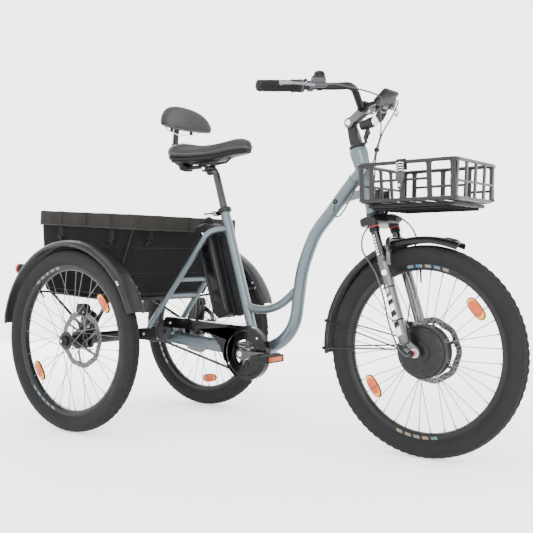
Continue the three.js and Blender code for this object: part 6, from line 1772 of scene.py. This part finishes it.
edge = np.concatenate([bezier((126, 1064), (136, 1066), (134, 1088), (118, 1106), 10),
                       bezier((118, 1106), (96, 1132), (50, 1144), (0, 1144), 22)[1:]])
edge = np.concatenate([edge, (edge * np.array([-1, 1]))[::-1][1:]])
foot = bezier((-126, 1064), (-60, 1060), (60, 1060), (126, 1064), 40)[1:-1]
edge = np.concatenate([edge, foot])


def pad_ring(q, depth):
    middle = np.array([0, 1098.0])
    ring = []
    for p in edge:
        y, z = middle + (p - middle) * q
        r = 405 - depth
        ring.append((610 - math.sqrt(r * r - y * y), y, z))
    return ring


profile = [(0.03, 14.6), (0.3, 14.4), (0.55, 13.6), (0.74, 12), (0.87, 9.2), (0.955, 5), (0.99, 0.5),
           (1, -4), (0.992, -9), (0.96, -12.5),
           (0.9, -14), (0.6, -14.6), (0.03, -14.8)]
pad = piece("backrest_cushion", skin([pad_ring(q, d) for q, d in profile]), VINYL, "backrest",
            ["backrest_pad"], smooth=80, soft=1)
loop = [np.array(p) for p in pad_ring(1.004, -6)]
piece("backrest_welt", sweep(loop[::2] + [loop[0]], 1.4, sides=8, up=(1, 0, 0)), STITCH, "backrest")

# %% [markdown]
# ## Front basket
# The basket is welded tube and flat bar under satin paint: round rims at top and bottom,
# flat uprights that widen into the rims, and short rails at two heights. A ribbed tray
# closes its floor, and a striped elastic strap hooks over its right side.

# %% Rims, uprights and rails
def loop_tube(points, r, sides=16):
    points = np.array(points, float)
    rings = []
    for i, p in enumerate(points):
        along = unit(points[(i + 1) % len(points)] - points[i - 1])
        side = unit(np.cross(UP, along))
        top = np.cross(along, side)
        rings.append([p + (side * math.cos(t) + top * math.sin(t)) * r
                      for t in np.linspace(0, 2 * math.pi, sides, endpoint=False)])
    return skin(rings, close=True)


def rim_line(x0, x1, half, z, r=16):
    return [(x, y, z) for x, y in plan_ring(x0, x1, -half, half, r, 10, 8)[0]]


TOP_Z, LOW_Z = 863.5, 757.5
rims = [loop_tube(rim_line(1017, 1325.5, 137.5, TOP_Z), 5.5),
        loop_tube(rim_line(1023, 1319.5, 131.5, LOW_Z), 5.5)]


def basket_point(side, share, z):
    """A point on one side of the basket: right, left, front or rear, at a share along it."""
    lean = 6 * (TOP_Z - z) / (TOP_Z - LOW_Z)
    if side in ("right", "left"):
        y = 137.5 - lean
        return np.array([1019.5 + 305 * share, -y if side == "right" else y, z])
    x = 1325.5 - lean if side == "front" else 1017 + lean
    return np.array([x, -132 + 264 * share, z])


def upright(side, share, width=15, thick=5.5):
    line = [basket_point(side, share, z) for z in np.linspace(LOW_Z, TOP_Z, 13)]
    out = Y_AXIS if side in ("right", "left") else np.array([1.0, 0, 0])
    across = np.cross(UP, out)
    rings = []
    for k, p in enumerate(line):
        t = k / 12
        w = width * (1 + 0.55 * max(0, 1 - t / 0.1) ** 2 + 0.75 * max(0, (t - 0.88) / 0.12) ** 2) / 2
        corner = rounded_rectangle(-w, w, -thick / 2, thick / 2, thick * 0.3, 3)
        rings.append([p + across * a + out * b for a, b in corner])
    return skin(rings)


def rail(side, s0, s1, level, tall=7.5):
    z = LOW_Z + (TOP_Z - LOW_Z) * level
    out = Y_AXIS if side in ("right", "left") else np.array([1.0, 0, 0])
    return sweep([basket_point(side, s, z) for s in np.linspace(s0, s1, 5)], 1.0, up=UP, ends="flat",
                 section=rounded_rectangle(-2.5, 2.5, -tall / 2, tall / 2, 1.6, 3))


BASKET_PAINT = finish("basket_paint", (0.0105, 0.0107, 0.011), 0.38, metal=0.1, coat=0.04, grain=1700,
                      bump=0.2, shine=0.25)
bars = []
for side in ("right", "left"):
    bars += [upright(side, s) for s in (0.03, 0.14, 0.46, 0.74, 0.975)]
    bars += [rail(side, 0.14, 0.74, 0.53), rail(side, 0.74, 0.975, 0.3)]
for side in ("front", "rear"):
    bars += [upright(side, s) for s in (0.03, 0.26, 0.5, 0.74, 0.97)]
    bars += [rail(side, 0.03, 0.97, 0.45)]
piece("basket_rims", rims, BASKET_PAINT, "frame", ["basket_right", "basket_left"])
piece("basket_bars", bars, BASKET_PAINT, "frame", ["basket_front", "basket_rear"])

# %% Floor tray and bracket
tray = [pod(oriented(np.array([1171, 0, 0.0]), (1, 0, 0), Y_AXIS, UP), -136, 136, -122, 122, 738.5,
            748.6, 20)]
tray_ribs = [pod(oriented(np.array([1171, y, 0.0]), (1, 0, 0), Y_AXIS, UP), -122, 122, -2.4, 2.4, 731,
                 741, 2) for y in np.linspace(-96, 96, 7)]
slats = [sweep([(x, -129, 754.5), (x, 129, 754.5)], 3.2, sides=10) for x in np.linspace(1056, 1288, 6)]
piece("basket_tray", tray + tray_ribs, PLASTIC, "frame", ["basket_floor"])
piece("basket_slats", slats, BASKET_PAINT, "frame")
mount = [strap(steer(28, -20, 10), (1034, -24, 742), 8, 14, STEER_AHEAD),
         strap(steer(28, 20, 10), (1034, 24, 742), 8, 14, STEER_AHEAD),
         pod(oriented(np.array([1036, 0, 0.0]), (1, 0, 0), Y_AXIS, UP), -22, 40, -52, 52, 735, 742, 6),
         along_steer([(14.6, -8), (30, -8), (30.6, -6), (30.6, 0), (29.4, 1.4), (28.4, 1.4),
                      (28.4, -1.2), (14.6, -1.2)], loop=True),
         strap(steer(26, -18, -3), steer(34, -20, 12), 10, 10, STEER_AHEAD),
         strap(steer(26, 18, -3), steer(34, 20, 12), 10, 10, STEER_AHEAD),
         strap((1022, -30, 744), (1021, -30, 800), 8, 20, (1, 0, 0)),
         strap((1022, 30, 744), (1021, 30, 800), 8, 20, (1, 0, 0))]
piece("basket_mount", mount, SATIN_BLACK, "frame", bevel=0.6)
piece("basket_mount_bolts", [bolt((1016, y, 792), (-1, 0, 0), 5, 3.4) for y in (-30, 30)] +
      [bolt((1040, y, 748.6), UP, 5, 3) for y in (-34, 34)], STEEL, "frame")

# %% Striped elastic strap and hook
STRAP_X = 1019.5 + 305 * 0.46
band_path = curve([(STRAP_X, -124, 842), (STRAP_X, -127, 866), (STRAP_X, -132, 871.5),
                   (STRAP_X, -138, 872), (STRAP_X, -144.6, 868),
                   (STRAP_X, -144.8, 856), (STRAP_X, -143.2, 828)], 40)
band = sweep(band_path, 1.0, up=(1, 0, 0), ends="flat", section=[(-1.1, -12), (1.1, -12), (1.1, 12),
        (-1.1, 12)])
far = [np.array([STRAP_X + 150, -118, 812]), np.array([STRAP_X + 152, -120, 780]),
       np.array([STRAP_X + 150, -116, 760])]
piece("elastic_band", [band, sweep(far, 1.0, up=(1, 0, 0), ends="flat", section=[(-1.1, -10), (1.1,
        -10), (1.1, 10), (-1.1, 10)])], BINDING,
      "frame")
stripes = []
outer_path = spaced(band_path, 25)
for k in range(8, 24, 2):
    a = outer_path[k]
    b = a + (outer_path[min(24, k + 1)] - a) * 0.55
    out = np.array([0, -1.0, 0]) if a[2] < 866 else UP
    for s in (-1, 1):
        rows = []
        for share in (0, 0.5, 1):
            shift = np.array([s * 12 * share, 0, 0]) + (b - a) * (1.6 * share)
            rows.append([a + shift + out * 1.25, b + shift + out * 1.25, b + shift + out * 1.0,
                         a + shift + out * 1.0])
        stripes.append(skin(rows))
piece("elastic_stripes", stripes, WHITE, "frame")
hook = [pod(oriented(np.array([STRAP_X, -146, 0.0]), (1, 0, 0), (0, 0, 1), (0, -1, 0)), -13, 13, 808,
            836, -1, 4, 4),
        pod(oriented(np.array([STRAP_X, -145, 0.0]), (1, 0, 0), (0, 0, 1), (0, -1, 0)), -8, 8, 787, 814,
            -2, 4, 6)]
piece("strap_hook", hook, GREY_PLASTIC, "frame")
piece("strap_hook_bolt", bolt((STRAP_X - 1, -149.4, 798), (0, -1, 0), 4.6, 2.6), CHROME, "frame")

# %% [markdown]
# ## Floor, light and camera
# The floor is plain and pale and curves up all round. It glows more with distance, so the
# floor under and around the tricycle is dimmer: painted shade there. One large
# soft light hangs above, one stands at the front right and one at the back left. The camera
# stands level with the wheels' tops, ahead of the right side, and far enough back that the
# far wheels stay large.

# %% Floor
dish = [[(r * math.cos(t), r * math.sin(t), 0.2 * max(0, r - 4.6) ** 2)
         for t in np.linspace(0, 2 * math.pi, 96, endpoint=False)]
        for r in (0.02, 1, 2, 3, 4, 4.6, *np.linspace(4.8, 12, 40))]
points, faces = skin(dish, caps=(True, False))
floor_mesh = bpy.data.meshes.new("studio_floor")
floor_mesh.from_pydata([tuple(p) for p in points], [], faces)
floor_mesh.shade_smooth()
studio_floor = bpy.data.objects.new("studio_floor", floor_mesh)
bpy.context.collection.objects.link(studio_floor)
FLOOR_PAPER = finish("floor_paper", (0.86, 0.86, 0.865), 0.9, mottle=0.012, grain=300, bump=0.03, broad=3)
FLOOR_PAPER.node_tree.nodes["Principled BSDF"].inputs["Emission Color"].default_value = (1, 1, 1, 1)
paper = FLOOR_PAPER.node_tree
far = paper.nodes.new("ShaderNodeVectorMath")
far.operation = "LENGTH"
# The glow is weaker near the tricycle than far off: painted shade on the floor under and around it.
glow_with_painted_shade = paper.nodes.new("ShaderNodeMapRange")
glow_with_painted_shade.inputs["From Min"].default_value, glow_with_painted_shade.inputs["From Max"].default_value = 0.8, 3.5
glow_with_painted_shade.inputs["To Min"].default_value, glow_with_painted_shade.inputs["To Max"].default_value = 0.85, 1.9
paper.links.new(next(n for n in paper.nodes if n.type == "TEX_COORD").outputs["Object"], far.inputs[0])
paper.links.new(far.outputs["Value"], glow_with_painted_shade.inputs["Value"])
paper.links.new(glow_with_painted_shade.outputs["Result"], paper.nodes["Principled BSDF"].inputs["Emission Strength"])
floor_mesh.materials.append(FLOOR_PAPER)
print("floor faces", len(floor_mesh.polygons))

# %% Lights
world = bpy.data.worlds.new("studio")
bpy.context.scene.world = world
world.use_nodes = True
world.node_tree.nodes["Background"].inputs["Color"].default_value = (1, 1, 1, 1)
world.node_tree.nodes["Background"].inputs["Strength"].default_value = 0.9


def soft_light(name, place, aim, size, power):
    light = bpy.data.lights.new(name, "AREA")
    light.shape, light.size, light.size_y, light.energy = "RECTANGLE", size[0], size[1], power
    lamp = bpy.data.objects.new(name, light)
    bpy.context.collection.objects.link(lamp)
    lamp.location = place
    lamp.rotation_euler = (Vector(aim) - Vector(place)).to_track_quat("-Z", "Y").to_euler()
    return lamp


soft_light("overhead", (0.2, -0.6, 3.4), (0, 0, 0.4), (3.2, 3.2), 150)
soft_light("key_side", (3.2, -3.4, 2.2), (0.2, 0, 0.5), (2.2, 2.2), 110)
soft_light("rear_edge", (-3.0, 1.6, 1.9), (0, 0, 0.5), (1.6, 2.2), 80)
print("lights:", sorted(lamp.name for lamp in bpy.data.lights))

# %% Camera
CAMERA_PLACE = ((2300.3 + REAR_AXLE_X) * 0.001, -2.2971, 0.5869)
AZIMUTH, ELEVATION, ROLL = 0.6431, 0.0070, -0.0049
back = Vector((math.sin(AZIMUTH) * math.cos(ELEVATION), -math.cos(AZIMUTH) * math.cos(ELEVATION),
               math.sin(ELEVATION)))
level = Vector((math.cos(AZIMUTH), math.sin(AZIMUTH), 0))
upward = back.cross(level)
right = level * math.cos(ROLL) + upward * math.sin(ROLL)
upward = upward * math.cos(ROLL) - level * math.sin(ROLL)
lens_data = bpy.data.cameras.new("camera")
lens_data.lens, lens_data.sensor_width = 57.53, 36
camera = bpy.data.objects.new("camera", lens_data)
bpy.context.collection.objects.link(camera)
camera.matrix_world = Matrix((
    (right.x, upward.x, back.x, CAMERA_PLACE[0]),
    (right.y, upward.y, back.y, CAMERA_PLACE[1]),
    (right.z, upward.z, back.z, CAMERA_PLACE[2]),
    (0, 0, 0, 1)))
bpy.context.scene.camera = camera
print("camera at", np.round(CAMERA_PLACE, 3).tolist(), "m, lens", round(lens_data.lens, 2), "mm")
